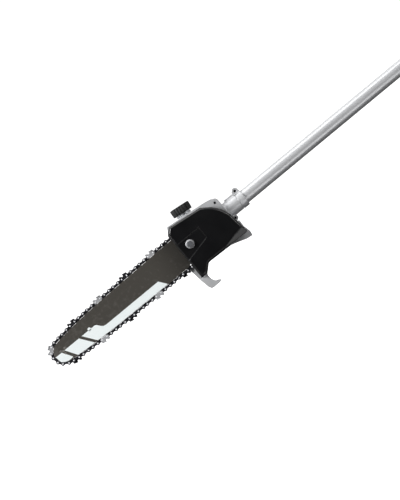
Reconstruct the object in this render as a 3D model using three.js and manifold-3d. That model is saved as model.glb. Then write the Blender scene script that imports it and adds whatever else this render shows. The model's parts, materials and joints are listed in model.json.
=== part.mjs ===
// Telescoping pole saw: a guide bar and saw chain on a cast right-angle gearbox, carried by a
// two-stage aluminium pole, with a drive shaft that telescopes inside it and a battery power unit.
// Units are millimetres. While it is built, the origin is the bar nut's axis in the bar's middle
// plane: +X runs back along the pole, +Z is up, and the sprocket cover faces -Y. The finished
// group is then shifted so that the origin lies under the middle of the object.
import * as THREE from 'three';
import { mergeVertices } from 'three/addons/utils/BufferGeometryUtils.js';
import Module from 'manifold-3d';

const wasm = await Module();
wasm.setup();

// ---- Driving dimensions ---------------------------------------------------------------------
const GAP = 0.3; // between pieces that touch
const POLE = { y: 24, z: 3.1 }; // the pole's axis, and the plane where the housings split
const OUT = { x: 46, z: POLE.z }; // the output shaft's axis, along Y, meets the pole's axis

const CHAIN = { links: 40, gauge: 1.0, width: 3.8, cutterWidth: 6.8, strap: 0.54, start: 0.010875 };
const SPROCKET = { teeth: 6, tip: 13.9, root: 8.4 };
const NOSE = { x: -272.6, z: -4, teeth: 7, tip: 17.5, root: 10.8, bore: 7.6 };
const BAR = { thick: 4, groove: 1.6, railDepth: 3.5, grooveDepth: 10.2, tailX: 21, tailHalf: 11 };

const TENSION = { x: 8, z: -12.5, y: 6.2 }; // the chain tensioner's block and screw

const HOUSING = { pad: 2.3, front: 4.2, back: 46 };
const COVER = { open: -2.3, face: -22, wall: 2.6, chamfer: 3 };
const NECK = { x: 23.2, tilt: THREE.MathUtils.degToRad(6.6), seat: 40.6, outer: 12.5, bore: 8.5 };

const FRONT_TUBE = { r: 12, wall: 1.6, x0: 86, x1: 1060 };
const REAR_TUBE = { r: 15, wall: 1.6, x0: 476, x1: 1214 };
const COLLAR = { x0: 472, x1: 530, r: 20.5 };
const POWER = { x0: 1184, x1: 1450 };
const BATTERY = { x0: 1453.5, x1: 1530, halfY: 38, low: -44, high: 36 };

const GEAR = { module: 2, wheel: 15, pinion: 10, face: 7 };
const PALETTE = {
  casting: 0xc9cacb, cover: 0x1b1b1c, bar: 0x57544d, chain: 0x2a2a2d, steel: 0xb9bbbe,
  tube: 0xcfd1d3, black: 0x161617, rubber: 0x202020, grey: 0x5a5c5e,
  brass: 0xb08d4a, board: 0x1d5b37, copper: 0xa8683a, foam: 0x1c1c1d,
};

// ---- Small tools ----------------------------------------------------------------------------
const paint = (colour, roughness = 0.5, metalness = 0) =>
  new THREE.MeshStandardMaterial({ color: colour, roughness, metalness });
const metal = (colour, roughness = 0.35) => paint(colour, roughness, 1);

function solid(geometry) {
  geometry.deleteAttribute('normal');
  geometry.deleteAttribute('uv');
  const merged = mergeVertices(geometry, 1e-4);
  return new wasm.Manifold(new wasm.Mesh({
    numProp: 3,
    vertProperties: new Float32Array(merged.attributes.position.array),
    triVerts: new Uint32Array(merged.index.array),
  }));
}

const join = (...parts) => parts.reduce((all, part) => all.add(part));
const cut = (body, ...tools) => tools.reduce((rest, tool) => rest.subtract(tool), body);

// A closed outline of [x, z] points, extruded from y0 to y1.
function prismY(points, y0, y1) {
  const shape = new THREE.Shape(points.map(([x, z]) => new THREE.Vector2(x, z)));
  const geometry = new THREE.ExtrudeGeometry(shape, { depth: y1 - y0, bevelEnabled: false });
  return solid(geometry.rotateX(Math.PI / 2).translate(0, y1, 0));
}

// The same with a single sloping edge around the -Y face.
function chamferedPrismY(points, yFace, y1, chamfer) {
  const shape = new THREE.Shape(points.map(([x, z]) => new THREE.Vector2(x, z)));
  const options = {
    depth: y1 + 1 - yFace - chamfer, bevelEnabled: true, bevelSegments: 1,
    bevelSize: chamfer, bevelOffset: -chamfer, bevelThickness: chamfer,
  };
  const geometry = new THREE.ExtrudeGeometry(shape, options);
  const whole = solid(geometry.rotateX(Math.PI / 2).translate(0, y1 + 1, 0));
  return whole.intersect(box(-500, 500, yFace - 1, y1, -500, 500));
}

// A closed outline of [x, y] points, extruded from z0 to z1.
function prismZ(points, z0, z1) {
  const shape = new THREE.Shape(points.map(([x, y]) => new THREE.Vector2(x, y)));
  const geometry = new THREE.ExtrudeGeometry(shape, { depth: z1 - z0, bevelEnabled: false });
  return solid(geometry.translate(0, 0, z0));
}

function box(x0, x1, y0, y1, z0, z1) {
  const geometry = new THREE.BoxGeometry(x1 - x0, y1 - y0, z1 - z0);
  return solid(geometry.translate((x0 + x1) / 2, (y0 + y1) / 2, (z0 + z1) / 2));
}

// Round bars along each axis; r2 tapers the far end.
function rodX(r, x0, x1, y = POLE.y, z = POLE.z, sides = 24, r2 = r) {
  const geometry = new THREE.CylinderGeometry(r2, r, x1 - x0, sides);
  return solid(geometry.rotateZ(-Math.PI / 2).translate((x0 + x1) / 2, y, z));
}
function rodY(r, y0, y1, x, z, sides = 24, r2 = r) {
  const geometry = new THREE.CylinderGeometry(r2, r, y1 - y0, sides);
  return solid(geometry.translate(x, (y0 + y1) / 2, z));
}
function rodZ(r, z0, z1, x, y, sides = 24, r2 = r) {
  const geometry = new THREE.CylinderGeometry(r2, r, z1 - z0, sides);
  return solid(geometry.rotateX(Math.PI / 2).translate(x, y, (z0 + z1) / 2));
}
const pipeX = (r, bore, x0, x1, sides = 24) =>
  cut(rodX(r, x0, x1, POLE.y, POLE.z, sides), rodX(bore, x0 - 1, x1 + 1, POLE.y, POLE.z, sides));

// A profile of [x, radius] points turned about the pole's axis.
function turnedX(profile, sides = 32) {
  const points = profile.map(([x, r]) => new THREE.Vector2(r, x));
  const geometry = new THREE.LatheGeometry(points, sides);
  return solid(geometry.rotateZ(-Math.PI / 2).translate(0, POLE.y, POLE.z));
}

const polar = (x, z, r, angle) => [x + r * Math.cos(angle), z + r * Math.sin(angle)];

// Points along an arc in the XZ plane, both ends included; angles in degrees.
function arc(x, z, r, from, to, steps) {
  return Array.from({ length: steps + 1 }, (_, i) =>
    polar(x, z, r, THREE.MathUtils.degToRad(from + ((to - from) * i) / steps)));
}

// A toothed outline: each tooth is as wide as `root` and `tip` say, in degrees.
function toothed(x, z, teeth, rRoot, rTip, root, tip, phase = 0) {
  const outline = [];
  for (let i = 0; i < teeth; i += 1) {
    const middle = phase + (360 * i) / teeth;
    for (const [r, turn] of [[rRoot, -root], [rTip, -tip], [rTip, tip], [rRoot, root]]) {
      outline.push(polar(x, z, r, THREE.MathUtils.degToRad(middle + turn / 2)));
    }
  }
  return outline;
}

const model = new THREE.Group();

function place(name, shape, material, parent = model) {
  let geometry = shape;
  if (!(shape instanceof THREE.BufferGeometry)) {
    const data = shape.getMesh();
    geometry = new THREE.BufferGeometry();
    geometry.setAttribute('position', new THREE.BufferAttribute(data.vertProperties, 3));
    geometry.setIndex(new THREE.BufferAttribute(data.triVerts, 1));
    geometry.computeVertexNormals();
  }
  const mesh = new THREE.Mesh(geometry, material);
  mesh.name = name;
  parent.add(mesh);
  return mesh;
}

// ---- The chain's path -----------------------------------------------------------------------
// One closed curve through the rivets: over the bar to the nose, round it, and back under the
// bar to the drive sprocket. The two arcs' radii follow from the pitch and the tooth counts.
const NOSE_PATH_R = 21.5;
const SPROCKET_PATH_R = 18.4;
function chainPath() {
  const top = [[18, 24.6], [-8, 28.0], [-40, 28.3], [-95, 27.3], [-163, 25.6], [-201, 24.3],
    [-232, 22.5], [-256, 19.8]];
  const bottom = [[-262, -27.2], [-243, -28.7], [-215, -29.9], [-180, -31], [-110, -31.7],
    [-45, -31.8], [-12, -30.6], [18, -22.6]];
  const points = [
    ...top,
    ...arc(NOSE.x, NOSE.z, NOSE_PATH_R, 100, 254, 7),
    ...bottom,
    ...arc(OUT.x, OUT.z, SPROCKET_PATH_R, -76, 82, 7),
  ];
  const spots = points.map(([x, z]) => new THREE.Vector3(x, 0, z));
  const curve = new THREE.CatmullRomCurve3(spots, true, 'centripetal');
  curve.arcLengthDivisions = 1200;
  return curve;
}
const PATH = chainPath();

// The point at a fraction of the loop, moved inwards by `inset`.
function pathPoint(fraction, inset = 0) {
  const wrapped = ((fraction % 1) + 1) % 1;
  const at = PATH.getPointAt(wrapped);
  const along = PATH.getTangentAt(wrapped);
  return [at.x - along.z * inset, at.z + along.x * inset];
}

// ---- Bar, chain and drive sprocket ----------------------------------------------------------
// The bar's edge is the rivets' path moved in by `inset`, from the tail round the nose and back.
function barOutline(inset, tailX, tailHalf) {
  const edge = [];
  const steps = 96;
  for (let i = 0; i <= steps; i += 1) {
    const [x, z] = pathPoint(i / steps, inset);
    const onNose = x < -235;
    if (x < -8 && (onNose || i % 4 === 0)) edge.push([x, z]);
  }
  const middle = -1.6;
  return [...edge, [tailX - 12, middle - tailHalf - 1], [tailX, middle - tailHalf],
    [tailX, middle + tailHalf], [tailX - 12, middle + tailHalf + 1]];
}

function guideBar() {
  const half = BAR.thick / 2;
  const slit = BAR.groove / 2;
  const plate = prismY(barOutline(BAR.railDepth, BAR.tailX, BAR.tailHalf), -half, half);
  const groove = cut(
    prismY(barOutline(BAR.railDepth - 4, BAR.tailX + 20, BAR.tailHalf), -slit, slit),
    prismY(barOutline(BAR.grooveDepth, BAR.tailX - 4, BAR.tailHalf), -slit - 1, slit + 1),
  );
  const recess = rodY(NOSE.tip + 4, -slit, slit, NOSE.x, NOSE.z, 40);
  const race = rodY(NOSE.bore - GAP, -half, half, NOSE.x, NOSE.z, 24);
  const slot = join(box(-7, 9, -5, 5, -4.4, 4.4), rodY(4.4, -5, 5, -7, 0), rodY(4.4, -5, 5, 9, 0));
  const pinHole = rodY(2.9, -5, 5, TENSION.x, TENSION.z, 16);
  return cut(join(cut(plate, groove, recess), race), slot, pinHole);
}

// Rivet number k; the odd and even gaps differ, as the straps are longer than the drive links.
function rivet(k) {
  const pair = Math.floor(k / 2);
  const step = k % 2 === 0 ? 0 : 1 - CHAIN.strap;
  return pathPoint(CHAIN.start + (pair + step) / CHAIN.links);
}

// Carries [along, outward] points onto the chord between two rivets.
function onChord(a, b, outline) {
  const middle = [(a[0] + b[0]) / 2, (a[1] + b[1]) / 2];
  const length = Math.hypot(b[0] - a[0], b[1] - a[1]);
  const t = [(b[0] - a[0]) / length, (b[1] - a[1]) / length];
  const n = [t[1], -t[0]];
  return outline.map(([u, v]) => [middle[0] + t[0] * u + n[0] * v, middle[1] + t[1] * u + n[1] * v]);
}

const DRIVE_LINK = [[-6.9, 0], [-6, 2.7], [6, 2.7], [6.9, 0], [4.6, -3.2], [3.4, -8.2],
  [-0.6, -8.8], [-4.4, -3.2]].reverse();
const STRAP = [[-7.8, 0], [-6.2, 2.8], [6.2, 2.8], [7.8, 0], [6, -2.5], [-6, -2.5]].reverse();
const CUTTER = [[7.4, 2.4], [7.4, 5.4], [4.2, 5.6], [2.6, 3.2], [0.2, 3.2], [-0.6, 6.2],
  [-7.6, 5.2], [-7.6, 2.4]];

function sawChain() {
  const parts = [];
  for (let i = 0; i < CHAIN.links; i += 1) {
    const [a, b, c] = [rivet(2 * i), rivet(2 * i + 1), rivet(2 * i + 2)];
    parts.push(prismY(onChord(a, b, DRIVE_LINK), -CHAIN.gauge / 2, CHAIN.gauge / 2));
    parts.push(prismY(onChord(b, c, STRAP), -CHAIN.width / 2, CHAIN.width / 2));
    if (i % 3 === 0 && i < CHAIN.links - 1) {
      const side = i % 6 === 0 ? 1 : -1;
      const [inner, outer] = [0.6 * side, (CHAIN.cutterWidth / 2) * side];
      const y = [inner, outer].sort((p, q) => p - q);
      parts.push(prismY(onChord(b, c, CUTTER), y[0], y[1]));
    }
  }
  return join(...parts);
}

// The angle, about a wheel's centre, of the gap between two neighbouring drive links.
function gapAngle(centre, pathRadius) {
  let best = [Infinity, 0];
  for (let i = 0; i < CHAIN.links; i += 1) {
    const [b, c] = [rivet(2 * i + 1), rivet(2 * i + 2)];
    const [dx, dz] = [(b[0] + c[0]) / 2 - centre.x, (b[1] + c[1]) / 2 - centre.z];
    const away = Math.abs(Math.hypot(dx, dz) - pathRadius) + (centre === NOSE ? dx : -dx) * 0.05;
    if (away < best[0]) best = [away, Math.atan2(dz, dx)];
  }
  return THREE.MathUtils.radToDeg(best[1]);
}

function driveSprocket() {
  const phase = gapAngle(OUT, SPROCKET_PATH_R);
  const teeth = toothed(OUT.x, OUT.z, SPROCKET.teeth, SPROCKET.root, SPROCKET.tip, 22, 7, phase);
  const wheel = prismY(teeth, -1.6, 1.6);
  const hub = rodY(8.2, -5, 1.9, OUT.x, OUT.z);
  return cut(join(wheel, hub), rodY(4.3, -9, 9, OUT.x, OUT.z));
}

function noseSprocket() {
  const phase = gapAngle(NOSE, NOSE_PATH_R);
  const star = toothed(NOSE.x, NOSE.z, NOSE.teeth, NOSE.root, NOSE.tip, 22, 7, phase);
  return cut(prismY(star, -0.5, 0.5), rodY(NOSE.bore, -2, 2, NOSE.x, NOSE.z, 24));
}

// ---- Cast housing ---------------------------------------------------------------------------
const LUGS = { top: { x: 75, z: 26.4, r: 7.4 }, rear: { x: 85.2, z: -14.3, r: 5.2 },
  front: { x: -12, z: -49.5, r: 5.4 } };

const CASTING = [[-19, -46], [-18.6, 34.2], [-12, 45.6], [50, 39.4], [63, 37.8], [72.6, 35.8],
  [80, 31], [82.4, 24], [82.4, -18], [88, -22], [87.6, -34], [90.2, -44], [90.4, -49.5],
  [89, -54.6], [77.5, -53], [66, -49], [51, -44.6], [8, -43.2], [4, -43.9], [-8.3, -55.6],
  [-9.6, -57.8], [-19, -57.8]].reverse();
const TANK = [[-15, -40], [-15, 33.4], [-10.6, 41], [44, 35.6], [31.6, 24], [24, 12], [22, 3],
  [24, -8], [30, -20], [38, -30], [40, -39.6], [4, -39.6], [-6, -47.4]].reverse();
const HOOK = [[-26.6, -30], [-27.2, -36], [-25.6, -49.5], [-23.9, -62.7], [-21.5, -74.3], [-19, -79.2],
  [-15, -80.2], [0, -80], [3, -77.5], [0, -75], [-5, -73.4], [-8.3, -68.5], [-9.9, -62.7],
  [-9.6, -55], [-14, -30]];

// The bore that the neck, standing on the sloping top, passes through.
function alongNeck(r, from, to, sides = 24, r2 = r) {
  const geometry = new THREE.CylinderGeometry(r2, r, to - from, sides).rotateX(Math.PI / 2);
  geometry.translate(0, 0, (from + to) / 2).rotateY(NECK.tilt);
  return solid(geometry.translate(NECK.x, POLE.y, NECK.seat));
}

function bearingBores() {
  return join(
    rodY(13 + GAP / 2, 3, 13.4, OUT.x, OUT.z, 32),
    rodY(11 + GAP / 2, 33.6, 41.4, OUT.x, OUT.z, 32),
    rodX(13 + GAP / 2, 66, 84.6, POLE.y, POLE.z, 32),
  );
}

// The whole casting before it is split: walls, gear chamber, tank, bearing seats and tube sleeve.
function castBody() {
  const sleeve = join(
    rodX(14.7, 80, 107.4, POLE.y, POLE.z, 32),
    box(89, 106.4, POLE.y - 5, POLE.y + 5, POLE.z, POLE.z + 16.8),
  );
  const lugs = Object.values(LUGS).map(({ x, z, r }) => rodY(r, HOUSING.front, HOUSING.back - 6, x, z));
  const rearBoss = rodY(17.5, HOUSING.back - 4, HOUSING.back + 3.4, OUT.x, OUT.z, 32, 15.5);
  const ribs = [-38, -19, 19].map((z) => box(-14, 64, HOUSING.back - 2, HOUSING.back + 1.4, z, z + 2.4));
  const body = join(prismY(CASTING, HOUSING.front, HOUSING.back), sleeve, rearBoss, ...lugs, ...ribs);
  const chamber = join(
    rodY(18.6, 13.3, 32, OUT.x, OUT.z, 28),
    rodX(12.4, OUT.x, 67, POLE.y, POLE.z, 28),
    rodY(6.4, 0, 15, OUT.x, OUT.z),
    rodY(8, 30, 42, OUT.x, OUT.z),
  );
  const tank = prismY(TANK, 6.2, HOUSING.back - 4);
  const tubeBore = rodX(FRONT_TUBE.r + GAP, 84, 110, POLE.y, POLE.z, 28);
  const screwHoles = Object.values(LUGS).flatMap(({ x, z }) =>
    [rodY(2.3, 0, 60, x, z, 12), rodY(4.2, HOUSING.back - 6, 60, x, z, 16)]);
  const neckBore = alongNeck(NECK.outer + GAP, -8, 12);
  const pump = join(box(PUMP.x - 7.3, PUMP.x + 7.3, 24, 36.6, -32.4, -13.6),
    rodZ(6.4, -14, POLE.z + 5, PUMP.x, PUMP.y, 16));
  const seat = join(chamber, pump, bearingBores(), tank, tubeBore, neckBore, ...screwHoles);
  return cut(join(cut(body, seat), studBoss()), rodY(4.3, 1, 17, 0, 0, 16), rodY(10, 0, 5, OUT.x, OUT.z));
}

// What the bar is clamped against: a raised pad with the stud's boss behind it.
const studBoss = () => join(
  box(-16, 21.2, HOUSING.pad, HOUSING.front + 2.4, -18.6, 16),
  rodY(9, HOUSING.front + 1, 19, 0, 0, 24),
);

function housingInner() {
  const keep = box(-40, 120, -10, POLE.y - GAP / 2, -90, 60);
  const hook = cut(prismY(HOOK, -5, 15), box(-30, 0, -6, HOUSING.front, -56.6, -20));
  const tensionPocket = join(
    box(-14, 16, 1, 9.4, TENSION.z - 4.2, TENSION.z + 4.2),
    rodX(2.6, -20, -13, TENSION.y, TENSION.z, 12),
  );
  const pocketWall = box(-17, 18.4, HOUSING.front + 0.5, 11.4, TENSION.z - 6.4, TENSION.z + 6.4);
  const screw = rodY(2.3, -9, 60, LUGS.front.x, LUGS.front.z, 12);
  const body = cut(join(castBody().intersect(keep), pocketWall), tensionPocket);
  return cut(join(body, hook), screw, rodY(4.3, 1, 17, 0, 0, 16));
}

function housingOuter() {
  return castBody().intersect(box(-40, 120, POLE.y + GAP / 2, 60, -90, 60));
}

// A pan-head screw through a lug, its head on the outer casing.
function lugScrew({ x, z }) {
  return join(rodY(2, 6, 41, x, z, 12), rodY(3.8, 40.3, 44, x, z, 12, 3.2));
}

// ---- Gears, shafts and bearings -------------------------------------------------------------
// A straight bevel gear: its teeth run to the point where the two shafts' axes cross, `reach`
// away from the large end. It is made with its large end at z = 0 and its apex at z = reach.
function bevelGear(teeth, reach, toothAngle, phase) {
  const pitchR = (GEAR.module * teeth) / 2;
  const outline = toothed(0, 0, teeth, pitchR - 1.9, pitchR + 1.3, toothAngle, toothAngle * 0.36, phase);
  const shape = new THREE.Shape(outline.map(([x, z]) => new THREE.Vector2(x, z)));
  const geometry = new THREE.ExtrudeGeometry(shape, { depth: GEAR.face, bevelEnabled: false });
  const p = geometry.attributes.position;
  for (let i = 0; i < p.count; i += 1) {
    const k = 1 - p.getZ(i) / reach;
    p.setXY(i, p.getX(i) * k, p.getY(i) * k);
  }
  return geometry;
}

const WHEEL_REACH = (GEAR.module * GEAR.pinion) / 2;
const PINION_REACH = (GEAR.module * GEAR.wheel) / 2;

function bevelWheel() {
  const geometry = bevelGear(GEAR.wheel, WHEEL_REACH * 1.0001, 11.4, 12).rotateX(-Math.PI / 2);
  const teeth = solid(geometry.translate(OUT.x, POLE.y - WHEEL_REACH, OUT.z));
  const back = rodY(12.6, POLE.y - WHEEL_REACH - 0.01, POLE.y - WHEEL_REACH + 0.2, OUT.x, OUT.z);
  return cut(join(teeth, back), rodY(5 + GAP, 0, 40, OUT.x, OUT.z));
}

function bevelPinion() {
  const geometry = bevelGear(GEAR.pinion, PINION_REACH * 1.0001, 17, 18).rotateY(-Math.PI / 2);
  const teeth = solid(geometry.translate(OUT.x + PINION_REACH, POLE.y, POLE.z));
  const shaft = rodX(5 - GAP / 2, OUT.x + PINION_REACH - 0.5, 100, POLE.y, POLE.z, 20);
  const socket = box(87, 101, POLE.y - 2.8, POLE.y + 2.8, POLE.z - 2.8, POLE.z + 2.8);
  return cut(join(teeth, shaft), socket);
}

function outputShaft() {
  const shaft = join(rodY(5, 5, 41, OUT.x, OUT.z, 20), rodY(4, -9, 5.5, OUT.x, OUT.z, 20));
  const grooveCut = cut(rodY(6, -7.4, -6.4, OUT.x, OUT.z), rodY(3.2, -8, -6, OUT.x, OUT.z));
  return cut(shaft, grooveCut);
}

const ballBearing = (outer, bore, width) =>
  new THREE.LatheGeometry([[bore, 0], [outer, 0], [outer, width], [bore, width], [bore, 0]]
    .map(([r, h]) => new THREE.Vector2(r, h)), 24);

function retainingClip() {
  const ring = rodY(6.6, -7.3, -6.5, OUT.x, OUT.z, 20);
  const mouth = box(OUT.x, OUT.x + 9, -8, -6, OUT.z - 2.4, OUT.z + 2.4);
  return cut(ring, rodY(3.4, -8, -6, OUT.x, OUT.z, 16), mouth);
}

// ---- Sprocket cover -------------------------------------------------------------------------
const COVER_OUTLINE = [[-20, -55.8], [-20, 33], [-10, 43.2], [49.5, 35.8], [58, 30.4], [66, 24],
  [72, 17], [77, 9.4], [80.6, 2], [82.5, -4], [84.6, -24], [86.6, -44], [8, -43], [4, -43.6],
  [-8.3, -55.2]].reverse();
const COVER_INSIDE = [[-17.4, -53], [-17.4, 32], [-9, 40.4], [48.6, 33], [56.4, 28], [64, 22],
  [70, 15.2], [74.6, 8], [78.2, 1], [80, -4.8], [82, -24], [83.6, -41.2], [7, -40.4], [2.6, -41.2],
  [-9.4, -53]].reverse();

// The wedge that the cover's face loses along its lower edge, deeper towards the back. `inset`
// moves it into the cover, for the wall's inner side.
function coverSlope(inset) {
  const wedge = new THREE.BoxGeometry(300, 60, 90).translate(0, -30, 0);
  wedge.rotateX(THREE.MathUtils.degToRad(21)).rotateY(THREE.MathUtils.degToRad(-12.4));
  return solid(wedge.translate(84, COVER.face + inset, -30));
}

function sprocketCover() {
  const shell = chamferedPrismY(COVER_OUTLINE, COVER.face, COVER.open, COVER.chamfer);
  const inside = cut(
    prismY(COVER_INSIDE, COVER.face + COVER.wall + 1, COVER.open + 1),
    coverSlope(COVER.wall + 1),
  );
  const pad = box(-19, 26, COVER.face + 4, COVER.open, -17, 17);
  const chainWays = join(
    box(-22, -15, -6.4, 0, 19, 38),
    box(-22, -15, -6.4, 0, -41, -22.6),
  );
  const studHole = rodY(4.4, COVER.face - 2, 2, 0, 0, 20);
  const nutSeat = rodY(8.4, COVER.face - 2, COVER.face + 1.6, 0, 0, 28);
  const body = cut(shell, coverSlope(0), inside);
  const dishOutline = [[-21, -20.6], [-21, 12], [28.5, 12], [28.5, -9]].reverse();
  const dish = prismY(dishOutline, COVER.face - 2, COVER.face + 0.9);
  return cut(join(body, pad), chainWays, dish, studHole, nutSeat);
}

// The block that the tension screw moves; its pin reaches into the bar's round hole.
function tensionBlock() {
  const block = box(TENSION.x - 4, TENSION.x + 4, 3, 9.1, TENSION.z - 3.9, TENSION.z + 3.9);
  const pin = rodY(2.6, -1.9, 4, TENSION.x, TENSION.z, 16);
  return cut(join(block, pin), rodX(2.3, TENSION.x - 5, TENSION.x + 5, TENSION.y, TENSION.z, 14));
}
function tensionScrew() {
  const shank = rodX(2, -17.4, 14, TENSION.y, TENSION.z, 14);
  const head = rodX(2.3, -18.4, -14.2, TENSION.y, TENSION.z, 14);
  const slot = box(-19, -17.2, TENSION.y - 3, TENSION.y + 3, TENSION.z - 0.5, TENSION.z + 0.5);
  return cut(join(shank, head, rodX(3.2, -12.8, -11.8, TENSION.y, TENSION.z, 14)), slot);
}

const NUT_WASHER = 1;
const nutWasher = () =>
  cut(rodY(7.6, COVER.face + 0.6, COVER.face + 1.3, 0, 0, 24), rodY(4.3, -40, 0, 0, 0, 20));

function flangeNut() {
  const y = COVER.face + 1.3 - NUT_WASHER;
  const hex = prismY(arc(0, 0, 5.7, 0, 300, 5), y - 7, y - 1);
  return cut(join(hex, rodY(7.2, y - 2, y, 0, 0, 24)), rodY(4.2, -40, 0, 0, 0, 20));
}

// ---- Oil system -----------------------------------------------------------------------------
function oilCap() {
  const body = fluted(17.9, 17, 26, 6.4, 19.8);
  return cut(body, alongNeck(NECK.outer + 0.5, 5, 10), alongNeck(7.6, 4, 13.4));
}

// A fluted cylinder about the neck's axis, between two heights.
function fluted(rOut, rIn, flutes, from, to) {
  const outline = Array.from({ length: flutes * 2 }, (_, i) =>
    polar(0, 0, i % 2 ? rIn : rOut, (Math.PI * i) / flutes));
  const shape = new THREE.Shape(outline.map(([x, y]) => new THREE.Vector2(x, y)));
  const geometry = new THREE.ExtrudeGeometry(shape, { depth: to - from, bevelEnabled: false });
  geometry.translate(0, 0, from).rotateY(NECK.tilt);
  return solid(geometry.translate(NECK.x, POLE.y, NECK.seat));
}

const oilNeck = () => cut(
  join(alongNeck(NECK.outer, -6, 9.4), alongNeck(NECK.outer + 1.4, 3.3, 4.2)),
  alongNeck(NECK.bore, -8, 12),
);
const capPlug = () => join(alongNeck(7.2, -1, 13), alongNeck(NECK.outer - 1, 9.7, 9.9));

function oilPickup() {
  const bend = new THREE.CatmullRomCurve3([[25.2, 30, -20], [18, 30, -22], [8, 30, -29], [-2, 30, -33]]
    .map(([x, y, z]) => new THREE.Vector3(x, y, z)));
  const ring = new THREE.Shape().absarc(0, 0, 2.2, 0, Math.PI * 2);
  const hose = new THREE.ExtrudeGeometry(ring, { steps: 8, extrudePath: bend, curveSegments: 4 });
  return join(solid(hose), rodX(5.5, -12, 0, 30, -33, 14));
}

// The pump stands beside the output shaft: its plunger carries a small wheel that the worm turns.
const PUMP = { x: OUT.x - 13.2, y: 27, low: -32, high: -14 };
function oilPump() {
  const body = box(PUMP.x - 7, PUMP.x + 7, POLE.y + 0.6, 36.2, PUMP.low, PUMP.high);
  return cut(body, rodZ(2.7, PUMP.low + 3, PUMP.high + 2, PUMP.x, PUMP.y, 14));
}
function pumpPlunger() {
  const teeth = toothed(PUMP.x, PUMP.y, 10, 4.2, 5.2, 20, 8);
  return join(prismZ(teeth, POLE.z - 1.6, POLE.z + 1.6),
    rodZ(2.4, PUMP.low + 4, POLE.z, PUMP.x, PUMP.y, 14));
}
function pumpWorm() {
  return cut(rodY(7.4, PUMP.y - 3, PUMP.y + 3, OUT.x, OUT.z, 20), rodY(5 + GAP, 20, 40, OUT.x, OUT.z, 20));
}

// ---- Pole, clamps and drive shaft -----------------------------------------------------------
function clampRing() {
  const ring = join(rodX(15.3, 107.8, 119.3, POLE.y, POLE.z, 32),
    rodY(6, POLE.y - 8, POLE.y + 8, 112.9, POLE.z + 17, 20),
    box(108, 118.2, POLE.y - 8, POLE.y + 8, POLE.z + 8, POLE.z + 17));
  return cut(ring, rodX(FRONT_TUBE.r + GAP, 100, 130, POLE.y, POLE.z, 28),
    box(100, 130, POLE.y - 1.1, POLE.y + 1.1, POLE.z + 5, POLE.z + 40),
    rodY(2.2, 0, 50, 112.9, POLE.z + 17.4, 12));
}
const clampScrew = () => join(rodY(1.9, POLE.y - 8.4, POLE.y + 9.4, 112.9, POLE.z + 17.4, 12),
  rodY(3.8, POLE.y + 8.3, POLE.y + 11.6, 112.9, POLE.z + 17.4, 12));

const SHAFT_BUSHES = [250, 620, 980];
function shaftBush(x) {
  return cut(rodX(FRONT_TUBE.r - FRONT_TUBE.wall - GAP, x, x + 16, POLE.y, POLE.z, 20),
    rodX(4.1, x - 1, x + 17, POLE.y, POLE.z, 20),
    box(x - 1, x + 17, POLE.y - 12, POLE.y + 12, POLE.z + 5.6, POLE.z + 20));
}

// The front shaft is round, with square ends: one in the pinion and a long one in the sleeve.
function frontDriveRod() {
  const square = (x0, x1) => box(x0, x1, POLE.y - 2.4, POLE.y + 2.4, POLE.z - 2.4, POLE.z + 2.4);
  return join(rodX(3.8, 100.4, 1000, POLE.y, POLE.z, 16), square(88, 101), square(999, 1170));
}
function rearDriveSleeve() {
  return cut(rodX(6, 1064, 1236, POLE.y, POLE.z, 16),
    box(1060, 1180, POLE.y - 2.8, POLE.y + 2.8, POLE.z - 2.8, POLE.z + 2.8));
}

const slideBush = () => pipeX(REAR_TUBE.r - REAR_TUBE.wall - GAP, FRONT_TUBE.r + GAP, 1030, 1058);

// ---- Telescope lock -------------------------------------------------------------------------
const LEVER = { x: 514, z: POLE.z + 25.5 };
function lockCollar() {
  const turned = turnedX([[COLLAR.x0, 12.4], [COLLAR.x0, 17], [COLLAR.x0 + 4, COLLAR.r],
    [COLLAR.x1 - 5, COLLAR.r], [COLLAR.x1, 17.5], [COLLAR.x1, 15.3], [COLLAR.x0 + 4, 15.3],
    [COLLAR.x0 + 4, 12.4], [COLLAR.x0, 12.4]]);
  const ears = box(LEVER.x - 8, LEVER.x + 8, POLE.y - 13, POLE.y + 13, POLE.z + 15.6, LEVER.z);
  const eyes = rodY(8, POLE.y - 13, POLE.y + 13, LEVER.x, LEVER.z, 24);
  const forLever = box(LEVER.x - 16, LEVER.x + 30, POLE.y - 8, POLE.y + 8, POLE.z + 17.2, LEVER.z + 20);
  const whole = join(turned, ears, eyes);
  const slit = box(COLLAR.x0 - 1, LEVER.x + 4, POLE.y - 0.8, POLE.y + 0.8, POLE.z - 40, POLE.z);
  return cut(whole, forLever, slit, rodY(2.4, 0, 50, LEVER.x, LEVER.z, 16),
    rodX(15.3, COLLAR.x0 + 4, COLLAR.x1 + 1, POLE.y, POLE.z, 32));
}

function lockLever() {
  const profile = [...arc(LEVER.x, LEVER.z, 7.2, 100, 250, 7), [LEVER.x + 6, LEVER.z - 6.2],
    [LEVER.x + 20, LEVER.z - 3.4], [LEVER.x + 62, LEVER.z - 3.6], [LEVER.x + 66, LEVER.z + 0.6],
    [LEVER.x + 60, LEVER.z + 1.6], [LEVER.x + 20, LEVER.z + 5]];
  return cut(prismY(profile, POLE.y - 7.6, POLE.y + 7.6), rodY(2.7, 0, 50, LEVER.x, LEVER.z, 16));
}

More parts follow.
